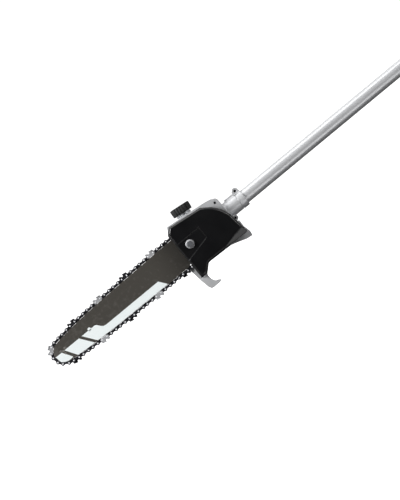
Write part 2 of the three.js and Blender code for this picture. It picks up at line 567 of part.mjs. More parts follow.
// ---- Grips and strap ------------------------------------------------------------------------
function foamGrip() {
  return turnedX([[640, 15.3], [640, 18.5], [645, 21], [935, 21], [940, 18.5], [940, 15.3],
    [640, 15.3]], 28);
}
const STRAP_EYE = { x: 1060, z: POLE.z + 24 };
function strapBand() {
  const ring = join(rodX(18.4, STRAP_EYE.x - 8, STRAP_EYE.x + 8, POLE.y, POLE.z, 28),
    box(STRAP_EYE.x - 8, STRAP_EYE.x + 8, POLE.y - 3, POLE.y + 3, POLE.z + 14, POLE.z + 30));
  return cut(ring, rodX(REAR_TUBE.r + GAP, 1000, 1100, POLE.y, POLE.z, 28),
    rodY(3.4, 0, 50, STRAP_EYE.x, STRAP_EYE.z, 16));
}

// A D-shaped ring lying back along the pole, free to swing in the band's eye.
function strapRing() {
  const loop = [[0, -13, 0], [0, 13, 0], [9, 17, 0], [24, 14, 0], [30, 0, 0], [24, -14, 0], [9, -17, 0]];
  const points = loop.map(([x, y, z]) =>
    new THREE.Vector3(STRAP_EYE.x + x, POLE.y + y, STRAP_EYE.z + z));
  const curve = new THREE.CatmullRomCurve3(points, true, 'catmullrom', 0.2);
  const section = new THREE.Shape().absarc(0, 0, 1.9, 0, Math.PI * 2);
  const options = { steps: 30, extrudePath: curve, curveSegments: 4 };
  return solid(new THREE.ExtrudeGeometry(section, options));
}

// ---- Power unit -----------------------------------------------------------------------------
const HANDLE = { x0: 1326, x1: 1418, r: 19.5 };
const TRIGGER = { x: 1346, z: POLE.z - 12 };

function powerShell() {
  const outer = [[POWER.x0, 19.5], [POWER.x0 + 4, 22], [1212, 23.5], [1226, 33], [1232, 35],
    [1296, 35], [1304, 33], [HANDLE.x0, HANDLE.r], [HANDLE.x1, HANDLE.r], [1434, 30],
    [POWER.x1, 36]];
  const inner = [[POWER.x1, 33], [1436, 27], [HANDLE.x1 + 2, 16.5], [HANDLE.x0, 16.5], [1302, 30],
    [1228, 30], [1217, 18], [1217, 15.3], [POWER.x0, 15.3]];
  return turnedX([...outer, ...inner, outer[0]], 32);
}

function powerHousing(side) {
  const [y0, y1] = side < 0 ? [-40, POLE.y - GAP / 2] : [POLE.y + GAP / 2, 90];
  const shell = powerShell().intersect(box(1100, 1500, y0, y1, -80, 90));
  const triggerSlot = box(1336, 1378, POLE.y - 7.6, POLE.y + 7.6, POLE.z - 30, POLE.z - 8);
  const buttonHole = rodZ(6.5, POLE.z + 8, POLE.z + 30, 1352, POLE.y, 20);
  const bow = join(
    box(1312, 1322, POLE.y - 7, POLE.y + 7, POLE.z - 52, POLE.z - 22),
    box(1312, 1398, POLE.y - 7, POLE.y + 7, POLE.z - 56, POLE.z - 50),
    box(1389, 1398, POLE.y - 7, POLE.y + 7, POLE.z - 52, POLE.z - 17.6),
  ).intersect(box(1100, 1500, y0, y1, -80, 90));
  const vents = [1244, 1256, 1268, 1280].map((x) =>
    box(x, x + 5, y0, y1, POLE.z - 12, POLE.z + 12).intersect(
      side < 0 ? box(1200, 1300, -40, POLE.y - 22, -40, 60) : box(1200, 1300, POLE.y + 22, 90, -40, 60)));
  return cut(join(shell, bow), triggerSlot, buttonHole, ...vents);
}

function motorStator() {
  return cut(rodX(29.4, 1246, 1292, POLE.y, POLE.z, 28), rodX(15.3, 1240, 1300, POLE.y, POLE.z, 24));
}
function motorRotor() {
  return join(rodX(14.8, 1250, 1288, POLE.y, POLE.z, 20), rodX(4.9, 1238.4, 1304, POLE.y, POLE.z, 16));
}

function triggerLever() {
  const outline = [[1339, POLE.z - 12], [1339, POLE.z - 30], [1348, POLE.z - 33], [1360, POLE.z - 30],
    [1373, POLE.z - 27], [1375, POLE.z - 12]];
  const pivotHole = rodY(1.9, 0, 50, TRIGGER.x, TRIGGER.z - 3, 12);
  return cut(prismY(outline.reverse(), POLE.y - 7, POLE.y + 7), pivotHole);
}

const switchModule = () => box(1340, 1380, POLE.y - 8, POLE.y + 8, POLE.z - 6.8, POLE.z + 1.4);
const controlBoard = () => box(1384, 1432, POLE.y - 11, POLE.y + 11, POLE.z + 4, POLE.z + 6);
const lockOffButton = () => join(rodZ(6.1, POLE.z + 6, POLE.z + 22.4, 1352, POLE.y, 20),
  rodZ(8, POLE.z + 5, POLE.z + 7, 1352, POLE.y, 20));

function batteryRail() {
  const plate = box(POWER.x1 + 0.3, POWER.x1 + 3, POLE.y - 34, POLE.y + 34, POLE.z - 34, POLE.z + 31);
  return join(plate, box(POWER.x1 + 2.5, POWER.x1 + 22, POLE.y - 12, POLE.y + 12, POLE.z - 10, POLE.z + 6));
}
function batteryPack() {
  const [y0, y1] = [POLE.y - BATTERY.halfY, POLE.y + BATTERY.halfY];
  const outline = [[BATTERY.x0, BATTERY.low + 6], [BATTERY.x0 + 6, BATTERY.low],
    [BATTERY.x1 - 10, BATTERY.low], [BATTERY.x1, BATTERY.low + 10], [BATTERY.x1, BATTERY.high - 12],
    [BATTERY.x1 - 12, BATTERY.high], [BATTERY.x0, BATTERY.high]];
  const pocket = box(BATTERY.x0 - 1, BATTERY.x0 + 22, POLE.y - 12.4, POLE.y + 12.4,
    POLE.z - 10.4, POLE.z + 6.4);
  const latchPocket = box(BATTERY.x0 + 6, BATTERY.x0 + 34, POLE.y - 11, POLE.y + 11,
    BATTERY.high - 6, BATTERY.high + 4);
  return cut(prismY(outline.reverse(), y0, y1), pocket, latchPocket);
}
const batteryLatch = () => join(
  box(BATTERY.x0 + 7, BATTERY.x0 + 33, POLE.y - 10.4, POLE.y + 10.4, BATTERY.high - 3, BATTERY.high + 1),
  box(BATTERY.x0 + 16, BATTERY.x0 + 19, POLE.y - 8, POLE.y + 8, BATTERY.high, BATTERY.high + 2.4),
);

// ---- Assembly -------------------------------------------------------------------------------
const cast = metal(PALETTE.casting, 0.55);
const steel = metal(PALETTE.steel, 0.3);
const dark = paint(PALETTE.black, 0.45);

place('gearbox_inner_half', housingInner(), cast);
place('gearbox_outer_half', housingOuter(), cast);
place('housing_screw_top', lugScrew(LUGS.top), steel);
place('housing_screw_rear', lugScrew(LUGS.rear), steel);
place('housing_screw_front', lugScrew(LUGS.front), steel);
place('guide_bar', guideBar(), metal(PALETTE.bar, 0.4));
place('nose_sprocket', noseSprocket(), steel);
place('saw_chain', sawChain(), metal(PALETTE.chain, 0.35));
place('drive_sprocket', driveSprocket(), steel);
place('retaining_clip', retainingClip(), steel);
place('output_shaft', outputShaft(), steel);
place('bevel_wheel', bevelWheel(), steel);
place('bevel_pinion', bevelPinion(), steel);

const bearing = (name, outer, bore, width, turn) => {
  const mesh = place(name, ballBearing(outer, bore, width), steel);
  if (turn === 'x') mesh.rotation.z = -Math.PI / 2;
  return mesh;
};
bearing('output_bearing_front', 13, 5.1, 8, 'y').position.set(OUT.x, 5.2, OUT.z);
bearing('output_bearing_rear', 11, 5.1, 7, 'y').position.set(OUT.x, 34, OUT.z);
bearing('pinion_bearing_front', 13, 5, 8, 'x').position.set(66.4, POLE.y, POLE.z);
bearing('pinion_bearing_rear', 13, 5, 8, 'x').position.set(76, POLE.y, POLE.z);

place('sprocket_cover', sprocketCover(), paint(PALETTE.cover, 0.28));
place('bar_stud', rodY(4, -26.4, 16.6, 0, 0, 16), steel);
place('bar_nut_washer', nutWasher(), steel);
place('bar_nut', flangeNut(), steel);
place('tension_block', tensionBlock(), steel);
place('tension_screw', tensionScrew(), steel);

place('oil_neck', oilNeck(), metal(PALETTE.steel, 0.3));
place('oil_cap_plug', capPlug(), dark);
place('oil_cap', oilCap(), paint(PALETTE.black, 0.5));
place('oil_pickup', oilPickup(), paint(PALETTE.rubber, 0.6));
place('oil_pump_body', oilPump(), metal(PALETTE.brass, 0.4));
place('oil_pump_plunger', pumpPlunger(), steel);
place('pump_worm', pumpWorm(), metal(PALETTE.brass, 0.4));

place('tube_clamp_ring', clampRing(), cast);
place('tube_clamp_screw', clampScrew(), steel);
place('front_tube', pipeX(FRONT_TUBE.r, FRONT_TUBE.r - FRONT_TUBE.wall, FRONT_TUBE.x0, FRONT_TUBE.x1, 32),
  metal(PALETTE.tube, 0.3));
SHAFT_BUSHES.forEach((x, i) => place(`shaft_bush_${i + 1}`, shaftBush(x), dark));
place('front_drive_shaft', frontDriveRod(), steel);
place('rear_drive_sleeve', rearDriveSleeve(), steel);
place('tube_slide_bush', slideBush(), dark);
place('rear_tube', pipeX(REAR_TUBE.r, REAR_TUBE.r - REAR_TUBE.wall, REAR_TUBE.x0, REAR_TUBE.x1, 32),
  metal(PALETTE.tube, 0.3));

place('lock_collar', lockCollar(), dark);
place('lock_lever_pin', rodY(2.2, POLE.y - 13, POLE.y + 13, LEVER.x, LEVER.z, 12), steel);
place('lock_lever', lockLever(), paint(PALETTE.grey, 0.5));
place('foam_grip', foamGrip(), paint(PALETTE.foam, 0.9));
place('strap_band', strapBand(), dark);
place('strap_ring', strapRing(), steel);

place('power_housing_left', powerHousing(-1), paint(PALETTE.grey, 0.5));
place('power_housing_right', powerHousing(1), paint(PALETTE.grey, 0.5));
place('motor_stator', motorStator(), metal(PALETTE.copper, 0.5));
place('motor_rotor', motorRotor(), steel);
place('drive_coupling', pipeX(9, 6.4, 1224, 1243.6), dark);
place('trigger', triggerLever(), dark);
place('lock_off_button', lockOffButton(), dark);
place('switch_module', switchModule(), dark);
place('control_board', controlBoard(), paint(PALETTE.board, 0.6));
place('battery_rail', batteryRail(), dark);
place('battery_pack', batteryPack(), dark);
place('battery_latch', batteryLatch(), paint(PALETTE.grey, 0.5));

const bounds = new THREE.Box3().setFromObject(model);
const middle = bounds.getCenter(new THREE.Vector3());
model.position.set(-middle.x, -middle.y, -bounds.min.z);

export default model;
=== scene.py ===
"""Telescoping pole saw: the visible pieces, their materials and the stage, built round the CAD frame.

Lengths in the small outlines are millimetres from the bar nut's axis, in the bar's middle plane, with
+X back along the pole and +Z up. Everything that reaches Blender is in metres, in the CAD frame.
"""

import json
import math

import bmesh
import bpy
from mathutils import Matrix, Vector
from mathutils.bvhtree import BVHTree


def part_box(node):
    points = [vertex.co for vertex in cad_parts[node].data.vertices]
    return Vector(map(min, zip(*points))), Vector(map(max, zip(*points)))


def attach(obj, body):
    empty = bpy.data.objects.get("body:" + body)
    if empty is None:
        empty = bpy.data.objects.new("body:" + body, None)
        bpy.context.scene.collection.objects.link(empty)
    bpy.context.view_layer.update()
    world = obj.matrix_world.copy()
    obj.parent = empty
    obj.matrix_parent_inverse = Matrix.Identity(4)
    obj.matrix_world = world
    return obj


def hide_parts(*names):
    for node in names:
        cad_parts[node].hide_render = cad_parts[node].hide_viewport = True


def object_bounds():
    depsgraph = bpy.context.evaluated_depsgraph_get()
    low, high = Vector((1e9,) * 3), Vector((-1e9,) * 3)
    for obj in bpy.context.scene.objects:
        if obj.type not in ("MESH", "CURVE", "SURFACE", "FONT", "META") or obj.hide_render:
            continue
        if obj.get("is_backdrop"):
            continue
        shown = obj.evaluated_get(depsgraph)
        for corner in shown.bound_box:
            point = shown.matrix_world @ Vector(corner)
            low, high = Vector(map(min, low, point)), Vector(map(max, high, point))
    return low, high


bl_info = {
    "name": "Telescoping Pole Saw",
    "version": (1, 0, 0),
    "blender": (4, 5, 0),
    "location": "View3D > Sidebar > Pole Saw",
    "description": "Builds a telescoping pole saw round its CAD frame",
    "category": "Object",
}

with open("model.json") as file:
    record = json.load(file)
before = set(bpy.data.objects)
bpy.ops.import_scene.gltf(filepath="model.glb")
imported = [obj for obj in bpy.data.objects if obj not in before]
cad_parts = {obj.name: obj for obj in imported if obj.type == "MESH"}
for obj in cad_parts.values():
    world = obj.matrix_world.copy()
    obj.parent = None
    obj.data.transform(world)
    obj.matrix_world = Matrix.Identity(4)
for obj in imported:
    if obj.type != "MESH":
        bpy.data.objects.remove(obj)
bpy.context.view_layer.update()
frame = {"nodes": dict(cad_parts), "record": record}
MM = 0.001

BODY_OF = {node: body for body, nodes in frame["record"]["behaviour"]["bodies"].items() for node in nodes}


def middle(node):
    """The middle of a CAD node's box."""
    low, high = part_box(node)
    return (low + high) / 2


NUT = Vector((middle("bar_stud").x, middle("guide_bar").y, middle("bar_stud").z))
POLE = middle("front_tube") - NUT
POLE_Y = POLE.y / MM
POLE_Z = POLE.z / MM
OUTPUT_X = (middle("output_shaft").x - NUT.x) / MM


def spot(x, y, z):
    """A place given in millimetres from the bar nut, in the frame's metres."""
    return NUT + Vector((x, y, z)) * MM


def extent(node):
    """A CAD node's box as two corners in millimetres from the bar nut."""
    low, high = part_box(node)
    return (low - NUT) / MM, (high - NUT) / MM


# ---- Settings --------------------------------------------------------------------------------
def colour(name, text, hex_code):
    """A colour property whose default is an sRGB hex value."""
    return bpy.props.FloatVectorProperty(
        name=name, description=text, subtype="COLOR", size=3, min=0, max=1, default=linear(hex_code)
    )


def length(name, text, millimetres):
    """A length property, given in millimetres and kept in metres."""
    return bpy.props.FloatProperty(
        name=name, description=text, unit="LENGTH", subtype="DISTANCE", default=millimetres * MM, min=0
    )


def linear(hex_code):
    """An sRGB hex value as linear red, green and blue."""
    channels = [int(hex_code[i : i + 2], 16) / 255 for i in (1, 3, 5)]
    return tuple(c / 12.92 if c <= 0.04045 else ((c + 0.055) / 1.055) ** 2.4 for c in channels)


class PoleSawSizes(bpy.types.PropertyGroup):
    """Sizes that a user would change."""

    casting_edge: length("Casting edge", "Radius of the cast housing's edges", 0.9)
    cover_edge: length("Cover edge", "Radius of the moulded cover's edges", 1.5)
    machined_edge: length("Machined edge", "Radius of turned and milled edges", 0.25)
    moulded_edge: length("Moulded edge", "Radius of the other mouldings' edges", 1.0)
    print_thickness: length("Print thickness", "How far printed panels stand off the bar", 0.06)
    rivet_dome: length("Rivet dome", "Height of a chain rivet's head", 0.55)


class PoleSawColours(bpy.types.PropertyGroup):
    """Colours that a user would change."""

    casting: colour("Casting", "Lacquered cast aluminium", "#CDCED0")
    cover: colour("Cover", "Glossy black nylon", "#060608")
    bar: colour("Bar", "Painted bar", "#484540")
    panel: colour("Bar panels", "Light printed panels", "#E6ECEC")
    chain: colour("Chain", "Blued chain steel", "#2E2E32")
    bright: colour("Bright steel", "Rivets and plated cutters", "#D8D9DC")
    tube: colour("Tube", "Anodised aluminium", "#DADBDD")
    black: colour("Black nylon", "Matt moulded parts", "#0E0F10")
    grey: colour("Grey nylon", "Power unit housing", "#4B5054")
    accent: colour("Accent", "Lever and trigger", "#B4471E")


# ---- Materials -------------------------------------------------------------------------------
def add_node(tree, kind, settings=None, links=None, into=None):
    """Adds a shader node: links maps its inputs to their sources, into maps its outputs to what they feed."""
    node = tree.nodes.new(kind)
    for key, value in (settings or {}).items():
        if key == "stops":
            set_stops(node.color_ramp.elements, value)
        elif isinstance(key, str) and hasattr(node, key):
            setattr(node, key, value)
        else:
            node.inputs[key].default_value = value
    for key, source in (links or {}).items():
        tree.links.new(source, node.inputs[key])
    for key, target in (into or {}).items():
        tree.links.new(node.outputs[key], target)
    return node


def set_stops(elements, stops):
    """Sets a ramp's (position, colour) stops; a number stands for a grey."""
    while len(elements) < len(stops):
        elements.new(0.5)
    for element, (position, value) in zip(elements, stops):
        element.position = position
        element.color = (*value, 1) if isinstance(value, tuple) else (value, value, value, 1)


# The colour sockets of a Mix node, whose inputs and outputs share their names with other kinds of data.
MIX_FIRST, MIX_SECOND, MIX_RESULT = 6, 7, 2


def new_material(name, base, metallic, roughness, **sockets):
    """A Principled material with its constant values set; returns it with its tree and shader."""
    made = bpy.data.materials.new(name)
    made.use_nodes = True
    shader = made.node_tree.nodes["Principled BSDF"]
    shader.inputs["Base Color"].default_value = (*base, 1)
    shader.inputs["Metallic"].default_value = metallic
    shader.inputs["Roughness"].default_value = roughness
    for socket, value in sockets.items():
        shader.inputs[socket.replace("_", " ")].default_value = value
    return made, made.node_tree, shader


def grain(tree, per_metre, detail=3, stretch=(1, 1, 1), kind="ShaderNodeTexNoise"):
    """A pattern on Object coordinates with so many periods to the metre, and its stretch by axis."""
    place = add_node(tree, "ShaderNodeTexCoord")
    turn = add_node(tree, "ShaderNodeMapping", {"Scale": stretch}, {"Vector": place.outputs["Object"]})
    settings = {"Scale": per_metre}
    if kind == "ShaderNodeTexNoise":
        settings["Detail"] = detail
    return add_node(tree, kind, settings, {"Vector": turn.outputs["Vector"]})


def shade(base, factor):
    """A colour made darker or lighter."""
    return tuple(min(1, c * factor) for c in base)


def worn_edges(tree, shader, base, worn, low=0.52, high=0.6):
    """Mixes a worn colour in along convex edges, broken up by noise, and feeds it to the shader."""
    shape = add_node(tree, "ShaderNodeNewGeometry")
    breakup = grain(tree, 180, 4)
    settings = {"operation": "MULTIPLY_ADD", 1: 0.024, 2: -0.012}
    shift = add_node(tree, "ShaderNodeMath", settings, {0: breakup.outputs["Fac"]})
    edge = add_node(tree, "ShaderNodeMath", {"operation": "ADD"},
                    {0: shape.outputs["Pointiness"], 1: shift.outputs[0]})
    settings = {"From Min": low, "From Max": high}
    span = add_node(tree, "ShaderNodeMapRange", settings, {"Value": edge.outputs[0]})
    settings, links = {"data_type": "RGBA", MIX_SECOND: (*worn, 1)}, {"Factor": span.outputs["Result"]}
    if isinstance(base, tuple):
        settings[MIX_FIRST] = (*base, 1)
    else:
        links[MIX_FIRST] = base
    add_node(tree, "ShaderNodeMix", settings, links, {MIX_RESULT: shader.inputs["Base Color"]})


def cast_aluminium(base):
    """Die-cast aluminium, shot blasted and silver lacquered: pale, even, with a fine sandy grain."""
    made, tree, shader = new_material("Cast aluminium, blasted and lacquered", base, 0.45, 0.42)
    cloud = grain(tree, 45, 4)
    tones = add_node(tree, "ShaderNodeValToRGB", {"stops": [(0.3, shade(base, 0.93)), (0.7, base)]},
                     {"Fac": cloud.outputs["Fac"]})
    worn_edges(tree, shader, tones.outputs["Color"], shade(base, 1.12))
    add_node(tree, "ShaderNodeMapRange", {"To Min": 0.36, "To Max": 0.5}, {"Value": cloud.outputs["Fac"]},
             {"Result": shader.inputs["Roughness"]})
    grit = grain(tree, 1600, 2)
    add_node(tree, "ShaderNodeBump", {"Strength": 0.5, "Distance": 0.08 * MM},
             {"Height": grit.outputs["Fac"]}, {"Normal": shader.inputs["Normal"]})
    return made


def glossy_nylon(base):
    """Glass-filled nylon from a polished mould: black, glossy, with slight waviness and dust."""
    made, tree, shader = new_material(
        "Nylon, moulded and polished", base, 0, 0.3, IOR=1.5, Coat_Weight=0.35, Coat_Roughness=0.12
    )
    haze = grain(tree, 30, 5)
    add_node(tree, "ShaderNodeMapRange", {"To Min": 0.24, "To Max": 0.4}, {"Value": haze.outputs["Fac"]},
             {"Result": shader.inputs["Roughness"]})
    worn_edges(tree, shader, base, shade(base, 3.2), 0.54, 0.66)
    peel = grain(tree, 420, 2)
    add_node(tree, "ShaderNodeBump", {"Strength": 0.35, "Distance": 0.05 * MM},
             {"Height": peel.outputs["Fac"]}, {"Normal": shader.inputs["Normal"]})
    return made


def matt_nylon(name, base, roughness=0.55):
    """Nylon from an eroded mould: matt, with a fine pebbled texture about 0.8 mm across."""
    made, tree, shader = new_material(name, base, 0, roughness, IOR=1.5)
    cloud = grain(tree, 60, 3)
    stops = [(0.3, shade(base, 0.85)), (0.7, shade(base, 1.1))]
    tones = add_node(tree, "ShaderNodeValToRGB", {"stops": stops}, {"Fac": cloud.outputs["Fac"]})
    worn_edges(tree, shader, tones.outputs["Color"], shade(base, 1.8), 0.54, 0.64)
    pebble = grain(tree, 1200, kind="ShaderNodeTexVoronoi")
    add_node(tree, "ShaderNodeBump", {"Strength": 0.5, "Distance": 0.1 * MM},
             {"Height": pebble.outputs["Distance"]}, {"Normal": shader.inputs["Normal"]})
    return made


def painted_bar(base):
    """Steel bar with baked paint: satin, lightly scuffed lengthways, darker by the clamp as painted shade."""
    made, tree, shader = new_material("Bar steel, painted and baked", base, 0.25, 0.4)
    place = add_node(tree, "ShaderNodeTexCoord")
    split = add_node(tree, "ShaderNodeSeparateXYZ", links={"Vector": place.outputs["Object"]})
    # Painted shade: darkens the bar towards the sprocket cover that clamps it, to 0.62 of its colour.
    settings = {"From Min": spot(-75, 0, 0).x, "From Max": spot(-22, 0, 0).x}
    cover_shade_span = add_node(tree, "ShaderNodeMapRange", settings, {"Value": split.outputs["X"]})
    darker = add_node(tree, "ShaderNodeValToRGB", {"stops": [(0.0, base), (1.0, shade(base, 0.62))]},
                      {"Fac": cover_shade_span.outputs["Result"]})
    scuff = grain(tree, 220, 5, (0.06, 1, 1))
    lines = add_node(tree, "ShaderNodeValToRGB", {"stops": [(0.35, 0.965), (0.65, 1.0)]},
                     {"Fac": scuff.outputs["Fac"]})
    both = add_node(tree, "ShaderNodeMix", {"data_type": "RGBA", "blend_type": "MULTIPLY", "Factor": 1.0},
                    {MIX_FIRST: darker.outputs["Color"], MIX_SECOND: lines.outputs["Color"]})
    worn_edges(tree, shader, both.outputs[MIX_RESULT], linear("#A9A6A0"), 0.53, 0.6)
    fine = grain(tree, 900, 2)
    add_node(tree, "ShaderNodeBump", {"Strength": 0.4, "Distance": 0.04 * MM},
             {"Height": fine.outputs["Fac"]}, {"Normal": shader.inputs["Normal"]})
    return made


def screen_print(base):
    """Screen-printed ink: a flat, slightly chalky film with tiny pinholes."""
    made, tree, shader = new_material("Ink, screen printed", base, 0, 0.42)
    speck = grain(tree, 700, 3)
    add_node(tree, "ShaderNodeValToRGB", {"stops": [(0.25, shade(base, 0.9)), (0.45, base)]},
             {"Fac": speck.outputs["Fac"]}, {"Color": shader.inputs["Base Color"]})
    add_node(tree, "ShaderNodeBump", {"Strength": 0.3, "Distance": 0.02 * MM},
             {"Height": speck.outputs["Fac"]}, {"Normal": shader.inputs["Normal"]})
    return made


def machined_metal(name, base, roughness, streak=(1, 1, 1), per_metre=900, metallic=1):
    """Bright metal as it leaves a lathe or a draw die: fine lines along one axis, soft highlights."""
    made, tree, shader = new_material(name, base, metallic, roughness)
    lines = grain(tree, per_metre, 4, streak)
    pattern = lines.outputs["Fac"]
    add_node(tree, "ShaderNodeMapRange", {"To Min": roughness * 0.8, "To Max": roughness * 1.25},
             {"Value": pattern}, {"Result": shader.inputs["Roughness"]})
    add_node(tree, "ShaderNodeValToRGB", {"stops": [(0.25, shade(base, 0.9)), (0.75, base)]},
             {"Fac": pattern}, {"Color": shader.inputs["Base Color"]})
    add_node(tree, "ShaderNodeBump", {"Strength": 0.4, "Distance": 0.03 * MM},
             {"Height": pattern}, {"Normal": shader.inputs["Normal"]})
    return made


def blued_steel(base):
    """Oiled, blued chain steel: dark, with smears of oil that change its gloss."""
    made, tree, shader = new_material("Chain steel, blued and oiled", base, 0.85, 0.34)
    smear = grain(tree, 260, 4)
    add_node(tree, "ShaderNodeMapRange", {"To Min": 0.22, "To Max": 0.5}, {"Value": smear.outputs["Fac"]},
             {"Result": shader.inputs["Roughness"]})
    worn_edges(tree, shader, base, shade(base, 3.5), 0.53, 0.62)
    add_node(tree, "ShaderNodeBump", {"Strength": 0.3, "Distance": 0.05 * MM},
             {"Height": smear.outputs["Fac"]}, {"Normal": shader.inputs["Normal"]})
    return made


def cell_foam(base):
    """Closed-cell foam sleeve: black, soft, pitted all over with cells about 1.2 mm across, with painted
    shade in the pits.
    """
    made, tree, shader = new_material("Foam rubber, closed cell", base, 0, 0.9, Sheen_Weight=0.25)
    cells = grain(tree, 800, kind="ShaderNodeTexVoronoi")
    pattern = cells.outputs["Distance"]
    # Painted shade: the colour follows the bump, darkest in each cell's pit and lightest on the rims between.
    add_node(tree, "ShaderNodeValToRGB", {"stops": [(0.0, shade(base, 0.5)), (0.5, shade(base, 1.5))]},
             {"Fac": pattern}, {"Color": shader.inputs["Base Color"]})
    add_node(tree, "ShaderNodeBump", {"Strength": 0.8, "Distance": 0.5 * MM},
             {"Height": pattern}, {"Normal": shader.inputs["Normal"]})
    return made


def circuit_board(base):
    """Fibreglass board under green solder mask, with faint copper tracks showing through."""
    made, tree, shader = new_material("Fibreglass, solder masked", base, 0, 0.35)
    tracks = grain(tree, 260, kind="ShaderNodeTexBrick")
    add_node(tree, "ShaderNodeValToRGB", {"stops": [(0.2, base), (0.8, shade(base, 1.8))]},
             {"Fac": tracks.outputs["Fac"]}, {"Color": shader.inputs["Base Color"]})
    return made


def studio_paper(base):
    """Seamless paper sweep: matt and nearly white."""
    made, tree, shader = new_material(
        "Paper, matt", base, 0, 0.9, Specular_IOR_Level=0.1, Emission_Color=(*base, 1), Emission_Strength=0.95
    )
    fibre = grain(tree, 8, 2)
    add_node(tree, "ShaderNodeValToRGB", {"stops": [(0.0, shade(base, 0.995)), (1.0, base)]},
             {"Fac": fibre.outputs["Fac"]}, {"Color": shader.inputs["Base Color"]})
    return made


MATERIALS = {}


def material(key):
    """One of the saw's materials, made when it is first asked for."""
    if key not in MATERIALS:
        paint = bpy.context.scene.pole_saw_colours
        makers = {
            "casting": lambda: cast_aluminium(tuple(paint.casting)),
            "cover": lambda: glossy_nylon(tuple(paint.cover)),
            "bar": lambda: painted_bar(tuple(paint.bar)),
            "panel": lambda: screen_print(tuple(paint.panel)),
            "chain": lambda: blued_steel(tuple(paint.chain)),
            "cutter": lambda: machined_metal(
                "Cutter steel, chrome plated", shade(tuple(paint.bright), 0.8), 0.34, metallic=0.5),
            "rivet": lambda: machined_metal("Rivet steel, headed", tuple(paint.bright), 0.4, metallic=0.3),
            "tube": lambda: machined_metal(
                "Aluminium tube, drawn and anodised", tuple(paint.tube), 0.34,
                (0.02, 1, 1), 700, metallic=0.5),
            "steel": lambda: machined_metal(
                "Steel, turned and zinc plated", linear("#D4D6DA"), 0.32, metallic=0.75),
            # Darker steel for the nut's hexagon: painted shade beside the nut's bright flange.
            "shaded": lambda: machined_metal(
                "Steel, forged and phosphated", linear("#6E7074"), 0.42, metallic=0.6),
            # Dark steel for screws, standing also for the shade in the holes they sit in: painted shade.
            "black_steel_and_hole_shade": lambda: machined_metal("Steel, turned and blackened, dark as painted shade in holes", linear("#2A2A2C"), 0.4),
            "brass": lambda: machined_metal("Brass, turned", linear("#B8924C"), 0.3),
            "copper": lambda: machined_metal("Copper winding, enamelled", linear("#A8623A"), 0.35),
            "black": lambda: matt_nylon("Nylon, moulded black", tuple(paint.black)),
            "grey": lambda: matt_nylon("Nylon, moulded grey", tuple(paint.grey), 0.5),
            "accent": lambda: matt_nylon("Nylon, moulded orange", tuple(paint.accent), 0.45),
            "rubber": lambda: matt_nylon("Rubber, overmoulded", linear("#1F2022"), 0.75),
            "foam": lambda: cell_foam(linear("#26272A")),
            "board": lambda: circuit_board(linear("#1F5A38")),
            "paper": lambda: studio_paper(linear("#FBFBFB")),
        }
        MATERIALS[key] = makers[key]()
    return MATERIALS[key]


# ---- Mesh tools ------------------------------------------------------------------------------
def cad_copy(node):
    """A bmesh of a CAD node, its corners merged and its flat faces whole."""
    form = bmesh.new()
    form.from_mesh(frame["nodes"][node].data)
    bmesh.ops.remove_doubles(form, verts=form.verts, dist=2e-6)
    bmesh.ops.dissolve_limit(
        form, angle_limit=math.radians(0.8), verts=form.verts[:], edges=form.edges[:], delimit=set()
    )
    return form


def round_edges(form, radius, segments=2, sharper_than=34, keep=None):
    """Bevels every edge that turns more sharply than an angle in degrees."""
    limit = math.radians(sharper_than)
    edges = [e for e in form.edges if len(e.link_faces) == 2 and abs(e.calc_face_angle_signed(0)) > limit]
    if keep:
        edges = [e for e in edges if keep(e)]
    bmesh.ops.bevel(
        form, geom=edges, offset=radius, offset_type="OFFSET", segments=segments, profile=0.5,
        affect="EDGES", clamp_overlap=False, material=-1,
    )
    return form


def soften(node, radius, segments, sharper_than):
    """A CAD copy with the largest edge radius, up to the one asked for, that leaves no corner astray."""
    original = cad_copy(node)
    surface = BVHTree.FromBMesh(original)
    original.free()
    for share in (1, 0.75, 0.55, 0.4, 0.28, 0.18, 0.1):
        form = round_edges(cad_copy(node), radius * share, segments, sharper_than)
        astray = max(surface.find_nearest(v.co)[3] for v in form.verts)
        if astray < radius * share * 0.9:
            return unfold(form, surface)
        form.free()
    return cad_copy(node)


def unfold(form, surface):
    """Splits many-sided faces into triangles and turns over those that a bevel has folded back."""
    bmesh.ops.triangulate(form, faces=[face for face in form.faces if len(face.verts) > 4])
    form.normal_update()
    folded = [
        face for face in form.faces
        if face.calc_area() > 1e-10
        and face.normal.dot(surface.find_nearest(face.calc_center_median())[1]) < -0.3
    ]
    bmesh.ops.reverse_faces(form, faces=folded)
    return form


def show(form, name, look, body, node=None, smooth=40, outward=False):
    """Makes a bmesh a finished piece on a CAD body, standing for a CAD node where one is named."""
    if outward:
        bmesh.ops.recalc_face_normals(form, faces=form.faces)
    limit = math.radians(smooth)
    for face in form.faces:
        face.smooth = True
    for edge in form.edges:
        edge.smooth = len(edge.link_faces) == 2 and abs(edge.calc_face_angle_signed(0)) < limit
    data = bpy.data.meshes.new(name)
    form.to_mesh(data)
    form.free()
    if not data.polygons:
        raise RuntimeError(f"{name} has no faces")
    data.materials.append(material(look))
    piece = bpy.data.objects.new(name, data)
    bpy.context.scene.collection.objects.link(piece)
    even = piece.modifiers.new("Even shading", "WEIGHTED_NORMAL")
    even.keep_sharp = True
    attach(piece, body)
    if node:
        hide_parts(node)
    return piece


def dressed_copy(node, look, radius, segments=2, sharper_than=34):
    """A CAD node's shape with rounded edges and a material, standing for that node."""
    form = soften(node, radius, segments, sharper_than)
    return show(form, f"{node}_finished", look, BODY_OF[node], node)


def repaint(node, look):
    """Gives a CAD node that stays in view its material."""
    data = frame["nodes"][node].data
    data.materials.clear()
    data.materials.append(material(look))


